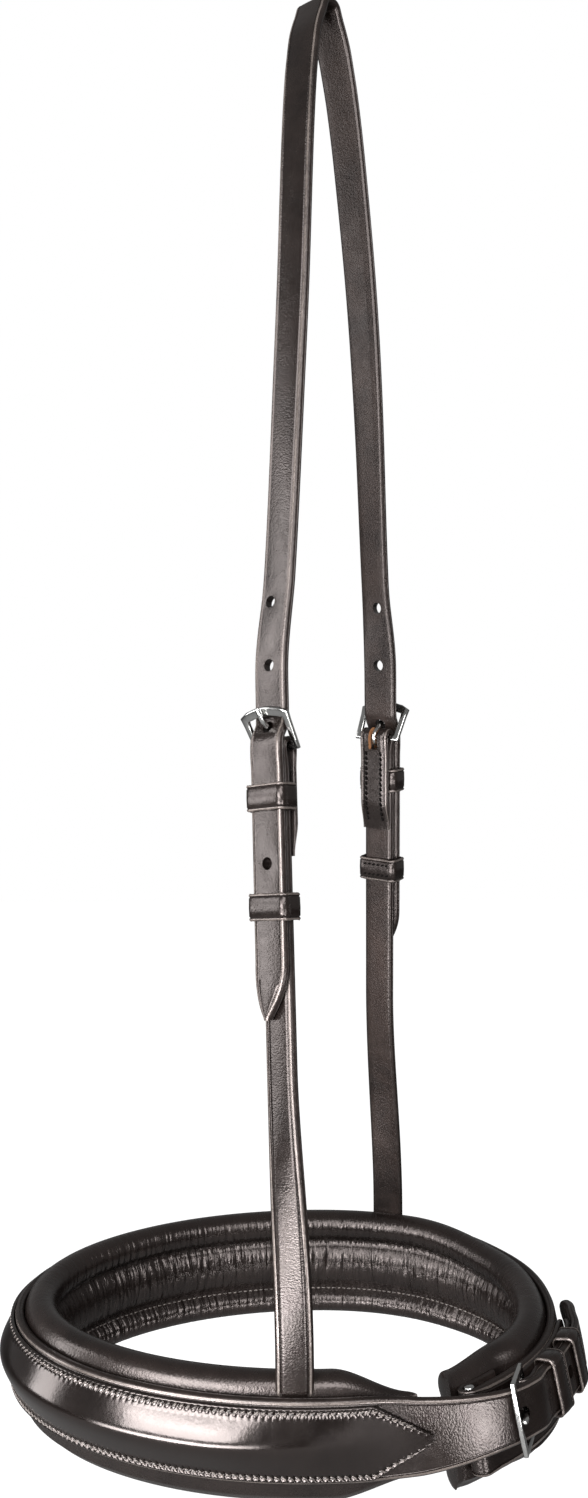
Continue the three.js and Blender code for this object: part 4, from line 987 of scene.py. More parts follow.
def tongue_route(curl_in, length, front_bar, angle, overhang):
    curl = curl_in + TONGUE_DIAMETER / 2
    lift = FRAME_THICKNESS / 2 + SEAT + TONGUE_DIAMETER / 2

    def on_frame(reach):
        return np.array([
            reach * math.cos(angle) - lift * math.sin(angle),
            reach * math.sin(angle) + lift * math.cos(angle),
        ])

    rest = on_frame(length - front_bar - TONGUE_DIAMETER / 4)
    tip = on_frame(length + overhang)
    aim = math.atan2(rest[1], rest[0]) + math.asin(curl / np.linalg.norm(rest))
    curled = steps(1.5 * math.pi, 0, 1.5 * math.pi / CURL_STEPS)
    turns = [aim - math.pi / 2 - left for left in curled]
    route = [(curl * np.array([math.cos(t), math.sin(t)]), 1) for t in turns]
    touch = route[-1][0]
    route += [(mix(touch, rest, share), 1) for share in SHANK_SHARES]
    neck_start = mix(touch, rest, NECK_START_SHARE)
    neck_end = mix(rest, tip, NECK_END_SHARE)
    for t in steps(0, 1, 1 / NECK_STEPS):
        route.append((mix(mix(neck_start, rest, t), mix(rest, neck_end, t), t), 1))
    route += [(mix(rest, tip, share), size) for share, size in POINT_SIZES]
    return route, touch, aim


def tongue_piece(name, body, place, route, sides=18):
    points = [p for p, size in route]
    rings = []
    for i, (point, size) in enumerate(route):
        run = unit(points[min(i + 1, len(points) - 1)] - points[max(i - 1, 0)])
        ring = []
        for x, y in circle(sides):
            wide = TONGUE_DIAMETER / 2 * size * x
            high = TONGUE_DIAMETER / 2 * size * y
            ring.append(place(point[0] - run[1] * high, point[1] + run[0] * high, wide))
        rings.append(ring)
    ring_piece(name, rings, STEEL, body)


def cheek_tongue_route():
    return tongue_route(HEEL_RADIUS, FRAME_LENGTH, FRONT_BAR, FRAME_TILT, TONGUE_OVERHANG)


def cheek_hole_drop():
    route, touch, aim = cheek_tongue_route()

    def miss(reach):
        billet = follow_lift(-touch[0] - reach * math.cos(aim))
        return abs(HEEL_OUT + touch[1] + reach * math.sin(aim) - billet)

    reach = min(steps(0, FRAME_LENGTH, SEARCH_STEP), key=miss)
    return -touch[0] - reach * math.cos(aim), aim


def make_headstrap():
    stations = headstrap_side(-1)[::-1] + crown_stations() + headstrap_side(1)
    drop, aim = cheek_hole_drop()
    middles = []
    cutters = []
    for side in (1, -1):
        local = cheek_place(side)
        for place in range(-2, 3):
            below = drop + place * HOLE_PITCH
            lean = aim if place == 0 else math.pi / 2
            middle = local["at"](below, follow_lift(below), 0)
            way = -local["down"] * math.cos(lean) + local["out"] * math.sin(lean)
            middles.append(middle + local["out"] * HEADSTRAP_THICKNESS / 2)
            reach = way * HOLE_CUT_REACH
            cutters.append(rod_solid(middle - reach, middle + reach, STRAP_HOLE_DIAMETER))
    piece = strap("headstrap", stations, press=press_holes(middles, STRAP_HOLE_DIAMETER), plies=2)
    punch(piece, cutters)


def make_cheek_strap(side):
    route = ROUTES[side]
    local = cheek_place(side)
    fold_start = 3 * FOLD_RADIUS
    outer = HEEL_OUT + FOLD_RADIUS
    inner = HEEL_OUT - FOLD_RADIUS
    middle = local["at"](0, HEEL_OUT, 0)
    stations = []
    for depth in steps(route["seat"], route["heel"] + STRAIGHT_BELOW, RUN_STEP)[:-1]:
        stations.append(side_station(side, depth, CHEEK_WIDTH, CHEEK_THICKNESS))

    def add(point, out, thickness):
        stations.append(station_at(point, local["across"], out, CHEEK_WIDTH, thickness))

    for below in steps(STRAIGHT_BELOW, fold_start, RUN_STEP) + steps(fold_start, 0, FINE_STEP)[1:-1]:
        share = ease(1 - below / fold_start)
        add(local["at"](below, outer * share, 0), local["out"], mix(CHEEK_THICKNESS, FOLD_THICKNESS, share))
    for radial in half_turn(local["out"], local["down"]):
        add(middle + radial * FOLD_RADIUS, radial, FOLD_THICKNESS)
    for below in steps(0, fold_start, FINE_STEP)[1:] + steps(fold_start, TURNBACK_LENGTH, RUN_STEP)[1:]:
        share = ease(below / fold_start)
        skived = ease(1 - (TURNBACK_LENGTH - below) / SKIVE_LENGTH)
        thickness = mix(mix(FOLD_THICKNESS, TURNBACK_THICKNESS, share), SKIVE_THICKNESS, skived)
        depth = mix(mix(inner, TURNBACK_IN, share), LEG_IN - SKIVE_THICKNESS / 2, skived)
        add(local["at"](below, depth, 0), -local["out"], thickness)
    piece = strap(f"{SIDE_NAMES[side]}_cheek_strap", settle(stations), plies=2)
    reach = 2 * (FOLD_RADIUS + FOLD_THICKNESS)
    punch(piece, [box_solid(middle, local["across"], local["down"], (SLOT_WIDTH, reach, reach))])
    show_raw_cut(piece, middle, local["across"])


# The cut sides of a slot show undyed leather
CUT_TOLERANCE = 0.02
FACING_ACROSS = 0.9  # least share of a cut face's direction that runs across the strap


def show_raw_cut(piece, middle, across):
    mesh = piece.data
    mesh.materials.append(RAW)
    last = len(mesh.materials) - 1
    for polygon in mesh.polygons:
        off = abs(np.dot(np.array(polygon.center) / MM - middle, across))
        facing = abs(np.dot(np.array(polygon.normal), across))
        if abs(off - SLOT_WIDTH / 2) < CUT_TOLERANCE and facing > FACING_ACROSS:
            polygon.material_index = last


# Buckle frame: one rounded bar led round heel, sides and a bowed, wider front
FRAME_CORNER_SHARE = 1.1
FRAME_CORNER_GAP = 0.5
FRAME_SQUARENESS = 0.4
FRAME_SIDES = 16
FRAME_HEEL_STEPS = 4
FRAME_SIDE_STEPS = 6
FRAME_FRONT_STEPS = 7


def make_frame(name, body, origin, axes, width, heel_width, length, front_bar, side_bar, bow):
    front_x = width / 2 - side_bar / 2
    heel_corner = np.array([heel_width / 2 - side_bar / 2, 0.0])
    front_corner = np.array([front_x, length - bow - front_bar / 2])
    corner = FRAME_CORNER_SHARE * side_bar
    half = []

    def lead(start, end, half_start, half_end, count):
        for i in range(count):
            t = i / count
            half.append((mix(start, end, t), mix(half_start, half_end, t)))

    def turn_corner(before, at, after, half_start, half_end):
        half.extend([(before, half_start), (at, (half_start + half_end) / 2), (after, half_end)])

    side_way = unit(front_corner - heel_corner)
    rise = 2 * bow / front_x
    front_way = np.array([-1.0, rise]) / math.hypot(1, rise)
    heel_before = heel_corner - np.array([corner, 0])
    heel_after = heel_corner + side_way * corner
    front_before = front_corner - side_way * corner
    front_after = front_corner + front_way * corner
    lead(np.array([0.0, 0.0]), heel_before, HEEL_BAR / 2, HEEL_BAR / 2, FRAME_HEEL_STEPS)
    turn_corner(heel_before, heel_corner, heel_after, HEEL_BAR / 2, side_bar / 2)
    side_start = heel_corner + side_way * (corner + FRAME_CORNER_GAP)
    lead(side_start, front_before, side_bar / 2, side_bar / 2, FRAME_SIDE_STEPS)
    turn_corner(front_before, front_corner, front_after, side_bar / 2, front_bar / 2)
    for x in steps(front_after[0], 0, front_after[0] / FRAME_FRONT_STEPS)[1:]:
        half.append((np.array([x, length - front_bar / 2 - bow * (x / front_x) ** 2]), front_bar / 2))
    mirrored = [(np.array([-p[0], p[1]]), w) for p, w in half[1:-1]][::-1]
    route = half + mirrored
    rings = []
    for i, (point, wide) in enumerate(route):
        come = unit(point - route[i - 1][0])
        leave = unit(route[(i + 1) % len(route)][0] - point)
        run = unit(come + leave)
        mitre = 1 / np.dot(run, come)
        side = np.array([run[1], -run[0]])
        ring = []
        for x, y in circle(FRAME_SIDES, offset=0.5):
            place = point + side * (wide * mitre * signed_power(x, FRAME_SQUARENESS))
            high = FRAME_THICKNESS / 2 * signed_power(y, FRAME_SQUARENESS)
            ring.append(origin + axes[0] * place[0] + axes[1] * place[1] + axes[2] * high)
        rings.append(ring)
    ring_piece(name, rings, STEEL, body, closed=True)


# Frame and tongue of one buckle, whose frame tilts out from the direction that runs back along the strap
def make_buckle(prefix, back, out, tilt, origin, sizes, place, route):
    forward = -back * math.cos(tilt) + out * math.sin(tilt)
    face = back * math.sin(tilt) + out * math.cos(tilt)
    axes = (np.cross(forward, face), forward, face)
    make_frame(f"{prefix}_buckle_frame", f"{prefix}_frame", origin, axes, *sizes)
    tongue_piece(f"{prefix}_buckle_tongue", f"{prefix}_tongue", place, route)


def make_cheek_buckle(side):
    local = cheek_place(side)
    sizes = (FRAME_WIDTH, FRAME_HEEL_WIDTH, FRAME_LENGTH, FRONT_BAR, SIDE_BAR, FRAME_BOW)

    def place(ahead, out, wide):
        return local["at"](-ahead, HEEL_OUT + out, wide)

    make_buckle(SIDE_NAMES[side], local["down"], local["out"], FRAME_TILT, local["at"](0, HEEL_OUT, 0),
                sizes, place, cheek_tongue_route()[0])


# Keeper: a band led round the strap, with eased edges and a crease along each
CORNER_STEPS = 6
KEEPER_STEP = 1.5
KEEPER_EDGE = 0.4
KEEPER_EDGE_SHARE = 0.35
KEEPER_CREASE = 0.34
KEEPER_CREASE_START = 0.8
KEEPER_CREASE_MIDDLE = 1.25
KEEPER_CREASE_END = 1.7
KEEPER_CROWN = 0.1
KEEPER_WAVES = ((0.12, 0.9, 0), (0.08, 2.3, 1))  # height, rate and start of the edges' unevenness
KEEPER_BACK = (0.05, 0.02)  # hollow of the inner side at its edges and middle
# The keeper's edges get the rim, a paler colour that is partly a painted highlight
KEEPER_LOOKS = (
    [BACK_LOOK] * 2 + [EDGE_LOOK] * 2 + [RIM_WEAR_AND_SHEEN_LOOK] * 2 + [FACE_LOOK] * 6 + [RIM_WEAR_AND_SHEEN_LOOK] * 2 + [EDGE_LOOK] * 2
)


def rounded_points(half_wide, bottom, top, corner):
    x = half_wide - corner
    points = []
    middles = ((x, top - corner), (-x, top - corner), (-x, bottom + corner), (x, bottom + corner))
    for quarter, middle in enumerate(middles):
        for i in range(CORNER_STEPS + 1):
            angle = math.pi / 2 * (quarter + i / CORNER_STEPS)
            points.append(np.array(middle) + corner * np.array([math.cos(angle), math.sin(angle)]))
    dense = []
    for i, point in enumerate(points):
        after = points[(i + 1) % len(points)]
        parts = max(1, round(np.linalg.norm(after - point) / KEEPER_STEP))
        dense += [mix(point, after, k / parts) for k in range(parts)]
    return dense


def make_keeper(name, body, origin, axes, half_wide, back_in, back_leg, front_in, band):
    inner = rounded_points(half_wide, back_in, front_in, KEEPER_CORNER)
    rings = []
    half = band / 2
    middle = np.array([0, (back_in + front_in) / 2])
    for i, point in enumerate(inner):
        run = inner[(i + 1) % len(inner)] - inner[i - 1]
        normal = np.array([run[1], -run[0]]) / np.linalg.norm(run)
        if np.dot(normal, point - middle) < 0:
            normal = -normal
        leg = back_leg if normal[1] < 0 else KEEPER_THICKNESS
        thick = mix(KEEPER_THICKNESS, leg, abs(normal[1]))
        wave = sum(height * math.sin(rate * i + start) for height, rate, start in KEEPER_WAVES)
        edge = min(KEEPER_EDGE, thick * KEEPER_EDGE_SHARE)
        rows = (
            (KEEPER_BACK[0], edge, 0), (edge, 0, 0.4), (thick - edge, 0, 1), (thick, edge, 0),
            (thick, KEEPER_CREASE_START, 0), (thick - KEEPER_CREASE, KEEPER_CREASE_MIDDLE, 0),
            (thick, KEEPER_CREASE_END, 0),
        )
        upper = [(off, half - inset + wave * share) for off, inset, share in rows]
        lower = [(off, inset - half + wave * share) for off, inset, share in rows]
        outline = lower[:1] + [(KEEPER_BACK[1], 0)] + upper + [(thick + KEEPER_CROWN, 0)] + lower[:0:-1]
        ring = []
        for off, z in outline:
            place = point + normal * off
            ring.append(origin + axes[0] * place[0] + axes[1] * place[1] + axes[2] * z)
        rings.append(ring)
    ring_piece(name, rings, STRAP, body, looks=KEEPER_LOOKS, closed=True)


def make_side_keepers(side):
    name = SIDE_NAMES[side]
    local = cheek_place(side)
    front_in = BILLET_OUT + HEADSTRAP_THICKNESS / 2 + KEEPER_SLACK
    half_wide = HEADSTRAP_WIDTH / 2 + KEEPER_SLACK
    back_in = -CHEEK_THICKNESS / 2 - KEEPER_SLACK
    axes = (local["across"], local["out"], np.cross(local["across"], local["out"]))
    make_keeper(f"{name}_fixed_keeper", "strapwork", local["at"](KEEPER_DROP, 0, 0), axes,
                half_wide, LEG_IN, KEEPER_LEG, front_in, KEEPER_BAND)
    make_keeper(f"{name}_runner", f"{name}_slider", local["at"](RUNNER_DROP, 0, 0), axes,
                half_wide, back_in, KEEPER_THICKNESS, front_in, KEEPER_BAND)


def make_noseband_strap():
    centre = on_chin_piece(-CHIN_PIECE_ARC, END_PIN_IN, 0)
    inner_out = END_PIN_IN - END_FOLD_RADIUS
    stations = []

    def fold(point, out):
        stations.append(station_at(point, END_ACROSS, out, BAND_HEIGHT, END_FOLD_THICKNESS))

    for arc in steps(-CHIN_PIECE_ARC + END_FOLD_LENGTH, -CHIN_PIECE_ARC, RUN_STEP)[:-1]:
        fold(on_chin_piece(arc, inner_out, 0), -loop_axes(arc)["out"])
    for radial in half_turn(-END_OUT, END_RUN):
        fold(centre + radial * END_FOLD_RADIUS, radial)
    arcs = steps(-CHIN_PIECE_ARC, CHIN_HEEL_ARC, RUN_STEP)[3:-1]
    arcs += steps(CHIN_HEEL_ARC, CHIN_SETTLED_ARC, CHIN_FOLD_RADIUS / 3)[:-1]
    arcs += steps(CHIN_SETTLED_ARC, CHIN_BILLET_ARC - RUN_STEP, FINE_STEP)
    arcs += steps(CHIN_BILLET_ARC - RUN_STEP, CHIN_BILLET_ARC, POINT_STEP)[1:]
    stations += [band_station(arc) for arc in arcs]
    middles, cutters = chin_holes()
    press = press_holes(middles, CHIN_HOLE_DIAMETER)
    piece = strap("noseband_strap", settle(stations), press=press, plies=2)
    punch(piece, cutters)


def chin_tongue_route():
    return tongue_route(CHIN_HEEL_RADIUS, CHIN_FRAME_LENGTH, CHIN_FRAME_BAR, CHIN_FRAME_TILT, CHIN_OVERHANG)


def chin_holes():
    heel = chin_place(CHIN_HEEL_ARC)
    route, touch, aim = chin_tongue_route()
    best = (math.inf, CHIN_HEEL_ARC)
    for arc in steps(CHIN_HEEL_ARC - CHIN_FRAME_LENGTH, CHIN_HEEL_ARC, SEARCH_STEP):
        offset = band_station(arc)["point"] - heel["at"](0, CHIN_HEEL_OUT, 0)
        forward, out = -np.dot(offset, heel["run"]), np.dot(offset, heel["out"])
        miss = abs(out - touch[1] - (forward - touch[0]) * math.tan(aim))
        if forward > touch[0] and miss < best[0]:
            best = (miss, arc)
    way = -heel["run"] * math.cos(aim) + heel["out"] * math.sin(aim)
    middles = []
    cutters = []
    for place in range(3):
        station = band_station(best[1] + place * CHIN_HOLE_PITCH)
        middle = station["point"]
        lean = way if place == 0 else station["out"]
        reach = station["thickness"] / 2 + CHIN_CUT_OVERRUN
        middles.append(middle + station["out"] * station["thickness"] / 2)
        cutters.append(rod_solid(middle - lean * reach, middle + lean * reach, CHIN_HOLE_DIAMETER))
    return middles, cutters


def make_chin_buckle(heel, origin):
    bars = (CHIN_FRAME_BAR, CHIN_FRAME_BAR)
    sizes = (CHIN_FRAME_HEIGHT, CHIN_FRAME_HEIGHT, CHIN_FRAME_LENGTH, *bars, CHIN_FRAME_BOW)

    def place(ahead, out, high):
        return heel["at"](ahead, CHIN_HEEL_OUT + out, high)

    make_buckle("chin", heel["run"], heel["out"], CHIN_FRAME_TILT, origin,
                sizes, place, chin_tongue_route()[0])


def make_chin_chape(heel, origin):
    arcs = steps(CHIN_HEEL_ARC, CHIN_SETTLED_ARC, FINE_STEP)[:-1]
    arcs += steps(CHIN_SETTLED_ARC, CHIN_HEEL_ARC + CHAPE_REACH, RUN_STEP)
    stations = []

    def add(arc, point, out, across):
        pointing = between((arc - CHIN_HEEL_ARC - CHAPE_REACH + CHAPE_POINT) / CHAPE_POINT)
        width = CHAPE_HEIGHT * math.sqrt(1 - CHAPE_POINT_SHARE * pointing * pointing)
        stations.append(station_at(point, across, out, width, CHAPE_THICKNESS))

    for arc in arcs[:0:-1]:
        out = mix(CHIN_HEEL_OUT - CHIN_FOLD_RADIUS, CHIN_LOWER, settled_at(arc))
        add(arc, chin_place(arc)["at"](0, out, 0), -loop_axes(arc)["out"], loop_axes(arc)["up"])
    for radial in half_turn(-heel["out"], heel["run"]):
        add(CHIN_HEEL_ARC, origin + radial * CHIN_FOLD_RADIUS, radial, heel["up"])
    for arc in arcs[1:]:
        out = mix(CHIN_HEEL_OUT + CHIN_FOLD_RADIUS, CHIN_UPPER, settled_at(arc)) - lean_in(arc)
        add(arc, chin_place(arc)["at"](0, out, 0), loop_axes(arc)["out"], loop_axes(arc)["up"])
    piece = strap("chin_chape", settle(stations), crease=CHAPE_CREASE)
    reach = 2 * (CHIN_FOLD_RADIUS + CHAPE_THICKNESS)
    punch(piece, [box_solid(origin, heel["up"], heel["run"], (SLOT_WIDTH, reach, reach))])


def make_chin_keepers():
    first = CHIN_HEEL_ARC + CHIN_KEEPER_REACH
    for name, arc in (("chin_first_keeper", first), ("chin_second_keeper", first + CHIN_KEEPER_SPACING)):
        local = chin_place(arc)
        billet = band_shape(arc)
        front_in = billet["outward"] + billet["thickness"] / 2 + KEEPER_SLACK
        axes = (np.cross(local["out"], local["run"]), local["out"], local["run"])
        make_keeper(name, "strapwork", local["at"](0, 0, 0), axes, CHIN_BILLET_HEIGHT / 2 + KEEPER_SLACK,
                    CHIN_LEG_OUT + KEEPER_LEG / 2, KEEPER_LEG, front_in, CHIN_KEEPER_BAND)


def make_chin_fastening():
    heel = chin_place(CHIN_HEEL_ARC)
    origin = heel["at"](0, CHIN_HEEL_OUT, 0)
    make_chin_buckle(heel, origin)
    make_chin_chape(heel, origin)
    make_chin_keepers()


# How far in from an end of the pin its rounding reaches each share of its radius
PIN_ROUNDING = ((0, 0.55), (0.12, 0.8), (0.4, 0.96), (0.8, 1))
PIN_SIDES = 24


def make_end_pin():
    middle = on_chin_piece(-CHIN_PIECE_ARC, END_PIN_IN, 0)
    bottom, top = PIN_STAND - BAND_HEIGHT / 2, PIN_STAND + BAND_HEIGHT / 2
    levels = [(bottom + step, share) for step, share in PIN_ROUNDING]
    levels += [(top - step, share) for step, share in PIN_ROUNDING[::-1]]
    rings = []
    for height, share in levels:
        radius = PIN_DIAMETER / 2 * share
        rings.append([
            middle + END_ACROSS * height + (END_OUT * x + END_RUN * y) * radius for x, y in circle(PIN_SIDES)
        ])
    ring_piece("chin_end_pin", rings, STEEL, "strapwork")


# Nose cover: a sewn flange along each edge and a glossy raised middle
COVER_RIDGE = 0.27
COVER_STEP = 0.36
COVER_SKIN = 0.5  # least standing out of a point that stitches can dent
COVER_LEVELS = (0.95, 0.86, 0.75, 0.63, 0.5, 0.38, 0.26, 0.17, 0.08)
FLANGE_EDGE = (0.35, 0.15)
# Flange from its edge to the raised middle: how far off its top level, and how far in from its edge
FLANGE_ROWS = ((-0.08, 0.25), (0, 0.6), (-0.14, 1), (-0.2, 1.5), (-0.1, 2), (0, 2.4))
DOME_FOOT = (0.05, 0.15)
STITCH_PITCH = 2.4
STITCH_INSET = 1.7
STITCH_LEAN = 0.55
DENT_DEPTH = 0.75
DENT_HALF_WIDTH = 0.42
DENT_REACH = 0.95


# Slanted dent that each stitch pulls into the leather, at a distance in from the middle of the row
def stitch_dent(arc, inward):
    place = (arc - COVER_MIDDLE - inward * STITCH_LEAN) / STITCH_PITCH
    off = (place - round(place)) * STITCH_PITCH
    return DENT_DEPTH * math.exp(-((off / DENT_HALF_WIDTH) ** 2) - (inward / DENT_REACH) ** 2)


def cover_shape(arc):
    far = abs(arc - COVER_MIDDLE)
    pointing = between((far - COVER_HALF + COVER_POINT) / COVER_POINT)
    raised = FILLER_HEIGHT * ease((COVER_HALF - COVER_POINT / 2 - far) / FILLER_FADE)
    return mix(COVER_HEIGHT, COVER_TIP, pointing), raised


def cover_lift(level):
    def spine(place):
        return math.hypot(place, COVER_RIDGE) - COVER_RIDGE

    return 1 - spine(level) / spine(1)


# Section of the cover, out from its seat and up from its middle
def cover_outline(half, share, raised):
    dome = half - COVER_FLANGE * share
    top = COVER_SEAT + COVER_THICKNESS
    out, inward = FLANGE_EDGE
    right = [(COVER_SEAT, half - inward * share), (COVER_SEAT + out, half), (top - out, half)]
    right += [(top + out, half - inward * share) for out, inward in FLANGE_ROWS]
    right.append((top + DOME_FOOT[0], dome + DOME_FOOT[1] * share))
    right += [(top + raised * cover_lift(level), level * dome) for level in COVER_LEVELS]
    return right + [(top + raised, 0)] + [(out, -high) for out, high in right[::-1]]


def make_nose_cover():
    rings = []
    for arc in steps(COVER_MIDDLE - COVER_HALF, COVER_MIDDLE + COVER_HALF, COVER_STEP):
        height, raised = cover_shape(arc)
        band = band_shape(arc)
        axes = loop_axes(arc)
        half = height / 2
        share = half / (COVER_HEIGHT / 2)
        base = band["outward"] + band["thickness"] / 2
        ring = []
        for out, high in cover_outline(half, share, raised):
            if out > COVER_SEAT + COVER_SKIN:
                out -= stitch_dent(arc, abs(high) - half + STITCH_INSET * share) * share
            ring.append(on_axes(axes, base + out, band["rise"] + high))
        rings.append(ring)
    nodes = ("nose_cover", "nose_filler")
    ring_piece("nose_cover", rings, FACING, "strapwork", nodes=nodes)


# Padded lining: three rolls between sewn channels, gathered across by bending
TOP_ROLL = (PAD_DEPTH - TOP_RADIUS, PAD_TOP - TOP_RADIUS)
BOTTOM_ROLL = (PAD_DEPTH - BOTTOM_RADIUS, BOTTOM_RADIUS - PAD_BOTTOM)
TOP_CHANNEL = PAD_TOP - 2 * TOP_RADIUS
BOTTOM_CHANNEL = 2 * BOTTOM_RADIUS - PAD_BOTTOM
CENTRE_ROLL = (PAD_DEPTH - CENTRE_REACH, (TOP_CHANNEL + BOTTOM_CHANNEL) / 2)
CENTRE_HALF = (TOP_CHANNEL - BOTTOM_CHANNEL) / 2
LINING_BACK = 0.05
LINING_EDGE = 0.3

# Where each roll's arc starts and ends, in degrees, and its number of steps
TOP_TURN = (150, -38, 18)
CENTRE_TURN = (58, -58, 14)
BOTTOM_TURN = (38, -150, 18)


def pad_outline(plain):
    points = [(-LINING_BACK, TOP_ROLL[1] + LINING_EDGE)]

    def roll(centre, radius_in, radius_up, start, end, count):
        for degrees in steps(start, end, abs(end - start) / count):
            angle = math.radians(degrees)
            depth = centre[0] + radius_in * math.cos(angle)
            points.append((depth, centre[1] + radius_up * math.sin(angle)))

    roll(TOP_ROLL, TOP_RADIUS, TOP_RADIUS, *TOP_TURN)
    valley = mix(PAD_DEPTH - VALLEY_DEPTH, PAD_DEPTH - SEAT, plain)
    points.append((valley, TOP_CHANNEL))
    roll(CENTRE_ROLL, CENTRE_REACH, CENTRE_HALF, *CENTRE_TURN)
    points.append((valley, BOTTOM_CHANNEL))
    roll(BOTTOM_ROLL, BOTTOM_RADIUS, BOTTOM_RADIUS, *BOTTOM_TURN)
    points.append((-LINING_BACK, BOTTOM_ROLL[1] - LINING_EDGE))
    return np.array(points)


# Behind the lining's chin end the strap's folded end pushes it in, and it swells gently up to there
PAD_PUSHED = -END_PIN_IN + END_FOLD_RADIUS + END_FOLD_THICKNESS / 2 - BAND_THICKNESS
PUSH_PAST = 16  # past the folded end
PUSH_LENGTH = 16
SWELL_LENGTH = 48


def pad_back(arc):
    push_start = END_FOLD_LENGTH + PUSH_PAST - CHIN_PIECE_ARC
    return -BAND_THICKNESS - SEAT - PAD_PUSHED * ease((push_start - arc) / PUSH_LENGTH)


def pad_swell(arc):
    return PAD_PUSHED * ease(1 - (arc + PAD_CHIN_ARC - END_FOLD_LENGTH) / SWELL_LENGTH)


# How much the lining is gathered at each arc: most on the far side where it bends, least on the near side
GATHERS = [
    (-360, 0.15), (-300, 0.6), (-240, 1), (-200, 0.75), (-150, 0.75),
    (-110, 1), (-30, 0.9), (30, 0.25), (200, 0.1),
]

# Creases on each roll: middle height, reach up and down, least and most spacing, least and most depth
ROLL_CREASES = (
    (CENTRE_ROLL[1], 7.5, 1.5, 2.9, 0.4, 1.05),
    (TOP_CHANNEL + TOP_RADIUS / 2, 3.6, 2.2, 4.6, 0.2, 0.75),
    (BOTTOM_CHANNEL - BOTTOM_RADIUS / 2, 4.2, 1.8, 3.8, 0.3, 0.95),
)
CREASE_REACHES = (0.7, 1.2)
CREASE_SLANT = 0.14
CREASE_WIDTHS = (0.7, 1.05)


def wrinkles():
    creases = []
    for height, reach, near, far, shallow, deep in ROLL_CREASES:
        place = -PAD_CHIN_ARC
        while place < PAD_NEAR_ARC:
            place += rng.uniform(near, far)
            creases.append({
                "arc": place,
                "height": height + rng.normal(),
                "reach": reach * rng.uniform(*CREASE_REACHES),
                "slant": rng.normal(0, CREASE_SLANT),
                "depth": rng.uniform(shallow, deep) * follow(GATHERS, place),
                "width": rng.uniform(*CREASE_WIDTHS),
            })
    return creases


# Places on the lining at an arc, from how far in and how high they lie on its section
END_ROUND = 4
END_START = 0.3
END_HEIGHT_SHARE = 0.94


def lining_place(arc):
    full = ease((PAD_NEAR_ARC - arc) / PAD_TAPER)
    chin_end = ease(1 - (PAD_CHIN_ARC + arc) / PLAIN_REACH)
    ends = min(PAD_NEAR_ARC - arc, arc + PAD_CHIN_ARC)
    rounded = math.sqrt(1 - (1 - between((ends + END_START) / END_ROUND)) ** 2)
    axes = loop_axes(arc)
    back = pad_back(arc)
    droop = droop_at(arc)
    fuller = 1 + (pad_swell(arc) - pad_back(0) + back) / PAD_DEPTH
    below = mix(1, PAD_CHIN_BOTTOM_SHARE, chin_end)
    above = mix(1, PAD_CHIN_TOP_SHARE, ease(1 - (arc + PAD_CHIN_ARC) / PLAIN_LENGTH))
    taller = mix(PAD_TIP_HEIGHT_SHARE, 1, full) * mix(END_HEIGHT_SHARE, 1, rounded)

    def at(depth, high):
        inward = max(-LINING_BACK, depth) * mix(PAD_TIP_DEPTH_SHARE, 1, full) * rounded * fuller
        rise = high * taller * (below if high < 0 else above)
        return on_axes(axes, back - inward, rise - droop)

    return at


# Creases show on the inner side of the rolls, past this depth, and stand proud a little on either side
CREASE_START = 5.5
CREASE_FADE = 5
CREASE_WINDOW = 6
BULGE_SHARE = 0.35
BULGE_SPREAD = 2.5
PLAIN_CALM = 0.8


def make_lining():
    arcs = np.array(steps(PAD_NEAR_ARC, -PAD_CHIN_ARC, PAD_STEP))
    creases = wrinkles()
    rings = []
    for arc in arcs:
        plain = ease((PLAIN_REACH - PAD_CHIN_ARC - arc) / PLAIN_LENGTH)
        outline = pad_outline(plain)
        run = np.roll(outline, -1, axis=0) - np.roll(outline, 1, axis=0)
        normal = np.stack([-run[:, 1], run[:, 0]], axis=1)
        normal /= np.linalg.norm(normal, axis=1)[:, None]
        inner = np.clip((outline[:, 0] - CREASE_START) / CREASE_FADE, 0, 1)
        shift = np.zeros(len(outline))
        for crease in creases:
            if abs(crease["arc"] - arc) > CREASE_WINDOW:
                continue
            off = outline[:, 1] - crease["height"]
            across = (arc - crease["arc"] - crease["slant"] * off) / crease["width"]
            window = np.exp(-((off / crease["reach"]) ** 2))
            bulge = BULGE_SHARE * np.exp(-(across / BULGE_SPREAD) ** 2)
            shift -= crease["depth"] * window * (np.exp(-across ** 2) - bulge)
        calm = 1 - PLAIN_CALM * plain
        outline = outline + normal * (shift * inner * calm)[:, None]
        at = lining_place(arc)
        rings.append([at(depth, high) for depth, high in outline])
    vertices, faces, _ = skin(rings)
    uvs = [(PAD_NEAR_ARC - arc, around) for arc in arcs for around in run_lengths(pad_outline(0))]
    piece = make_piece("padded_lining", vertices, faces, LINING, "strapwork", uvs)
    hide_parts("padded_lining", "top_roll_core", "centre_roll_core", "bottom_roll_core")


# Stitches: short plump strokes laid along a line of places, each with a length, thickness and lift along it
STITCH_PROFILE = (
    (-0.5, 0.35, -0.16), (-0.42, 0.75, -0.05), (-0.2, 1, 0.03), (0, 1.02, 0.06), (0.2, 1, 0.03),
    (0.42, 0.75, -0.05), (0.5, 0.35, -0.16),
)
STITCH_SIDES = 7
STITCH_TURN = 0.05
STITCH_SIZES = (0.92, 1.08)


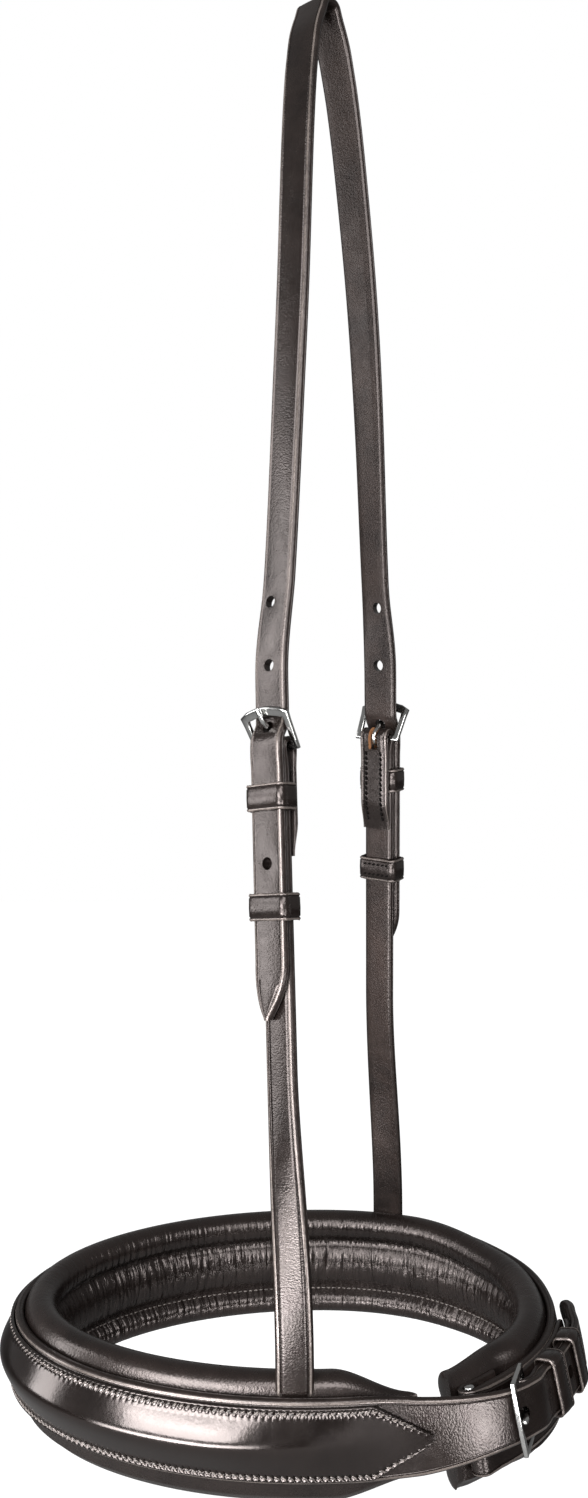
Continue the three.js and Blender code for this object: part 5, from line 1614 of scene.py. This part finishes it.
def make_stitches(name, places, length, diameter, slant=0, sink=0.1, material=THREAD, body="strapwork"):
    strokes = []
    for point, run, out in places:
        across = np.cross(out, run)
        turn = slant + rng.normal(0, STITCH_TURN)
        way = run * math.cos(turn) + across * math.sin(turn)
        beside = np.cross(out, way)
        size = diameter * rng.uniform(*STITCH_SIZES) / 2
        rings = []
        for place, share, lift in STITCH_PROFILE:
            middle = point + way * place * length + out * (lift + size * 0.5 - sink)
            rings.append([middle + (beside * x + out * y) * size * share for x, y in circle(STITCH_SIDES)])
        strokes.append(skin(rings)[:2])
    vertices, faces = join_solids(strokes)
    make_piece(name, np.array(vertices), faces, material, body)


COVER_STITCH = {"length": 2.3, "diameter": 0.72}
COVER_STITCH_SLANT = 0.62
COVER_SINK = 0.15
COVER_STITCH_END = 4
LEAST_STITCHED_SHARE = 0.25
CHANNEL_STITCH = {"length": 1.7, "diameter": 0.6, "sink": 0}
CHANNEL_PITCH = 2.6
# The turnback and runner seams use the near-black thread, which partly paints the shade of their dents
CHAPE_STITCH = {"length": 1.9, "diameter": 1.1, "slant": 0.4, "material": DARK_THREAD_AND_DENT_SHADE}
CHAPE_STITCH_START = 7
CHAPE_STITCH_PAST = 8
CHAPE_STITCH_INSET = 3.1
CHAPE_STITCH_PITCH = 2.3
RUNNER_STITCH = {"length": 1.6, "diameter": 0.8, "slant": 0.3, "material": DARK_THREAD_AND_DENT_SHADE}
RUNNER_STITCH_PITCH = 2.2


def cover_stitches():
    count = int((COVER_HALF - COVER_STITCH_END) / STITCH_PITCH)
    for edge, name in ((1, "cover_top_stitches"), (-1, "cover_bottom_stitches")):
        places = []
        for i in range(-count, count):
            arc = COVER_MIDDLE + (i + 0.5) * STITCH_PITCH
            height = cover_shape(arc)[0]
            share = height / COVER_HEIGHT
            if share < LEAST_STITCHED_SHARE:
                continue
            band = band_shape(arc)
            axes = loop_axes(arc)
            out = band["outward"] + band["thickness"] / 2 + COVER_SEAT + COVER_THICKNESS - COVER_SINK
            high = edge * (height / 2 - STITCH_INSET * share) + band["rise"]
            slope = cover_shape(arc + 1)[0] / 2 - cover_shape(arc - 1)[0] / 2
            run = unit(axes["run"] * 2 + axes["up"] * slope * edge)
            places.append((on_axes(axes, out, high), run, axes["out"]))
        make_stitches(name, places, slant=COVER_STITCH_SLANT * edge, **COVER_STITCH)


# The lower channel of the lining shows its own fine stitches
def channel_stitches():
    places = []
    for arc in steps(PLAIN_REACH - PAD_CHIN_ARC, PAD_NEAR_ARC - PAD_TAPER, CHANNEL_PITCH):
        here = lining_place(arc)(PAD_DEPTH - VALLEY_DEPTH, BOTTOM_CHANNEL)
        ahead = lining_place(arc + FINE_STEP)(PAD_DEPTH - VALLEY_DEPTH, BOTTOM_CHANNEL)
        places.append((here, unit(ahead - here), -loop_axes(arc)["out"]))
    make_stitches("channel_stitches", places, **CHANNEL_STITCH)


# Two rows hold each cheek strap's turnback
def turnback_stitches():
    for side, name in SIDE_NAMES.items():
        local = cheek_place(side)
        places = []
        for across in (-1, 1):
            beside = across * (CHEEK_WIDTH / 2 - CHAPE_STITCH_INSET)
            last = TURNBACK_LENGTH - SKIVE_LENGTH + CHAPE_STITCH_PAST
            for below in steps(CHAPE_STITCH_START, last, CHAPE_STITCH_PITCH):
                skived = ease(1 - (TURNBACK_LENGTH - below) / SKIVE_LENGTH)
                face = mix(TURNBACK_IN - TURNBACK_THICKNESS / 2, LEG_IN - SKIVE_THICKNESS, skived)
                places.append((local["at"](below, face, beside), local["down"], -local["out"]))
        make_stitches(f"{name}_chape_stitches", places, **CHAPE_STITCH)


# Each runner's band overlaps behind the strap and is sewn there in two rows
def runner_stitches():
    back = -CHEEK_THICKNESS / 2 - KEEPER_SLACK - KEEPER_THICKNESS
    for side, name in SIDE_NAMES.items():
        local = cheek_place(side)
        places = []
        for row in (-1, 1):
            for across in steps(-RUNNER_SEAM_REACH, RUNNER_SEAM_REACH, RUNNER_STITCH_PITCH):
                place = local["at"](RUNNER_DROP + row * RUNNER_SEAM_OFF, back, across)
                places.append((place, local["across"], -local["out"]))
        make_stitches(f"{name}_runner_stitches", places, body=f"{name}_slider", **RUNNER_STITCH)


make_headstrap()
for side in (1, -1):
    make_cheek_strap(side)
    make_cheek_buckle(side)
    make_side_keepers(side)
make_noseband_strap()
make_nose_cover()
make_lining()
make_chin_fastening()
make_end_pin()
cover_stitches()
channel_stitches()
turnback_stitches()
runner_stitches()


# Room, in metres: pale floor, white beyond it, soft panels
FLOOR_LEVEL = -0.86
FLOOR_REACH = 4.0
FLOOR_COLOUR = (0.25, 0.25, 0.25, 1)
FLOOR_GLOW = (0.66, 1)
GLOW_FADE = (0.1, 0.6)
WHITE = (1, 1, 1, 1)
FILL_LEVEL = 0.1
REFLECTED_LEVEL = 0.28


def make_floor():
    mesh = bpy.data.meshes.new("floor")
    reach = FLOOR_REACH
    corners = [(-reach, -reach), (reach, -reach), (reach, reach), (-reach, reach)]
    mesh.from_pydata([(x, y, FLOOR_LEVEL) for x, y in corners], [], [(0, 1, 2, 3)])
    floor = add_object("floor", mesh)
    material, tree, shader = start_material("floor")
    away = make_node(
        tree, "ShaderNodeVectorMath", {0: object_place(tree), 1: (0, 0, FLOOR_LEVEL)}, operation="DISTANCE",
    )
    whiter = spread(tree, away.outputs["Value"], *GLOW_FADE, *FLOOR_GLOW)
    path = tree.nodes.new("ShaderNodeLightPath")
    feed(tree, shader, {
        "Base Color": FLOOR_COLOUR,
        "Roughness": 0.9,
        "Emission Color": WHITE,
        "Emission Strength": maths(tree, "MULTIPLY", path.outputs["Is Camera Ray"], whiter),
    })
    mesh.materials.append(material)


# Plain white to the camera, a softer level in reflections and a faint fill for everything else
def make_world():
    world = bpy.data.worlds.new("studio")
    bpy.context.scene.world = world
    world.use_nodes = True
    tree = world.node_tree
    rays = tree.nodes.new("ShaderNodeLightPath").outputs
    level = maths(tree, "MULTIPLY_ADD", rays["Is Camera Ray"], 1 - FILL_LEVEL, FILL_LEVEL)
    level = maths(tree, "MULTIPLY_ADD", rays["Is Glossy Ray"], REFLECTED_LEVEL - FILL_LEVEL, level)
    feed(tree, tree.nodes["Background"], {"Color": WHITE, "Strength": level})


# Lamps: place, target, size, power in watts and spread in degrees
LAMPS = {
    "key": ((0.84, -0.54, -0.27), (0.05, -0.07, -0.50), (0.66, 0.27), 11.5, 180),
    "shoulder": ((0.74, -0.58, -0.04), (0.04, -0.08, -0.51), (0.62, 0.32), 7, 180),
    "low": ((0.86, -0.56, -0.70), (0.06, -0.02, -0.46), (1, 0.22), 4, 70),
    "side": ((0.07, -1.05, -0.38), (0.05, 0, -0.38), (0.26, 0.4), 2.8, 180),
    "upper": ((0.05, -1.05, 0.06), (0.03, 0, -0.2), (0.3, 0.35), 2.6, 180),
    "chin": ((0.99, 0.46, -0.68), (0.077, 0.05, -0.54), (0.4, 0.24), 6.2, 180),
    "top": ((0.70, 0.06, 0.10), (-0.05, 0, -0.52), (0.6, 0.42), 7.5, 180),
}
CAMERA_PLACE = (0.50203, -0.03281, -0.3015)
CAMERA_AIM = (-0.99897, 0.04536, 0)
LENS_MM = 29.56
SENSOR_MM = 36
NEAREST_SEEN = 0.01


def look_along(thing, direction):
    thing.rotation_euler = Vector(direction).to_track_quat("-Z", "Y").to_euler()


def make_lamp(name, place, target, size, power, spread_angle):
    light = bpy.data.lights.new(name, "AREA")
    light.shape = "RECTANGLE"
    light.size, light.size_y = size
    light.energy = power
    light.spread = math.radians(spread_angle)
    lamp = add_object(name, light)
    lamp.location = place
    look_along(lamp, Vector(target) - Vector(place))


def make_camera():
    data = bpy.data.cameras.new("camera")
    camera = add_object("camera", data)
    data.lens = LENS_MM
    data.sensor_width = SENSOR_MM
    data.clip_start = NEAREST_SEEN
    camera.location = CAMERA_PLACE
    look_along(camera, CAMERA_AIM)
    bpy.context.scene.camera = camera


make_floor()
make_world()
for name, lamp in LAMPS.items():
    make_lamp(name, *lamp)
make_camera()
bpy.context.scene.view_settings.view_transform = "Standard"
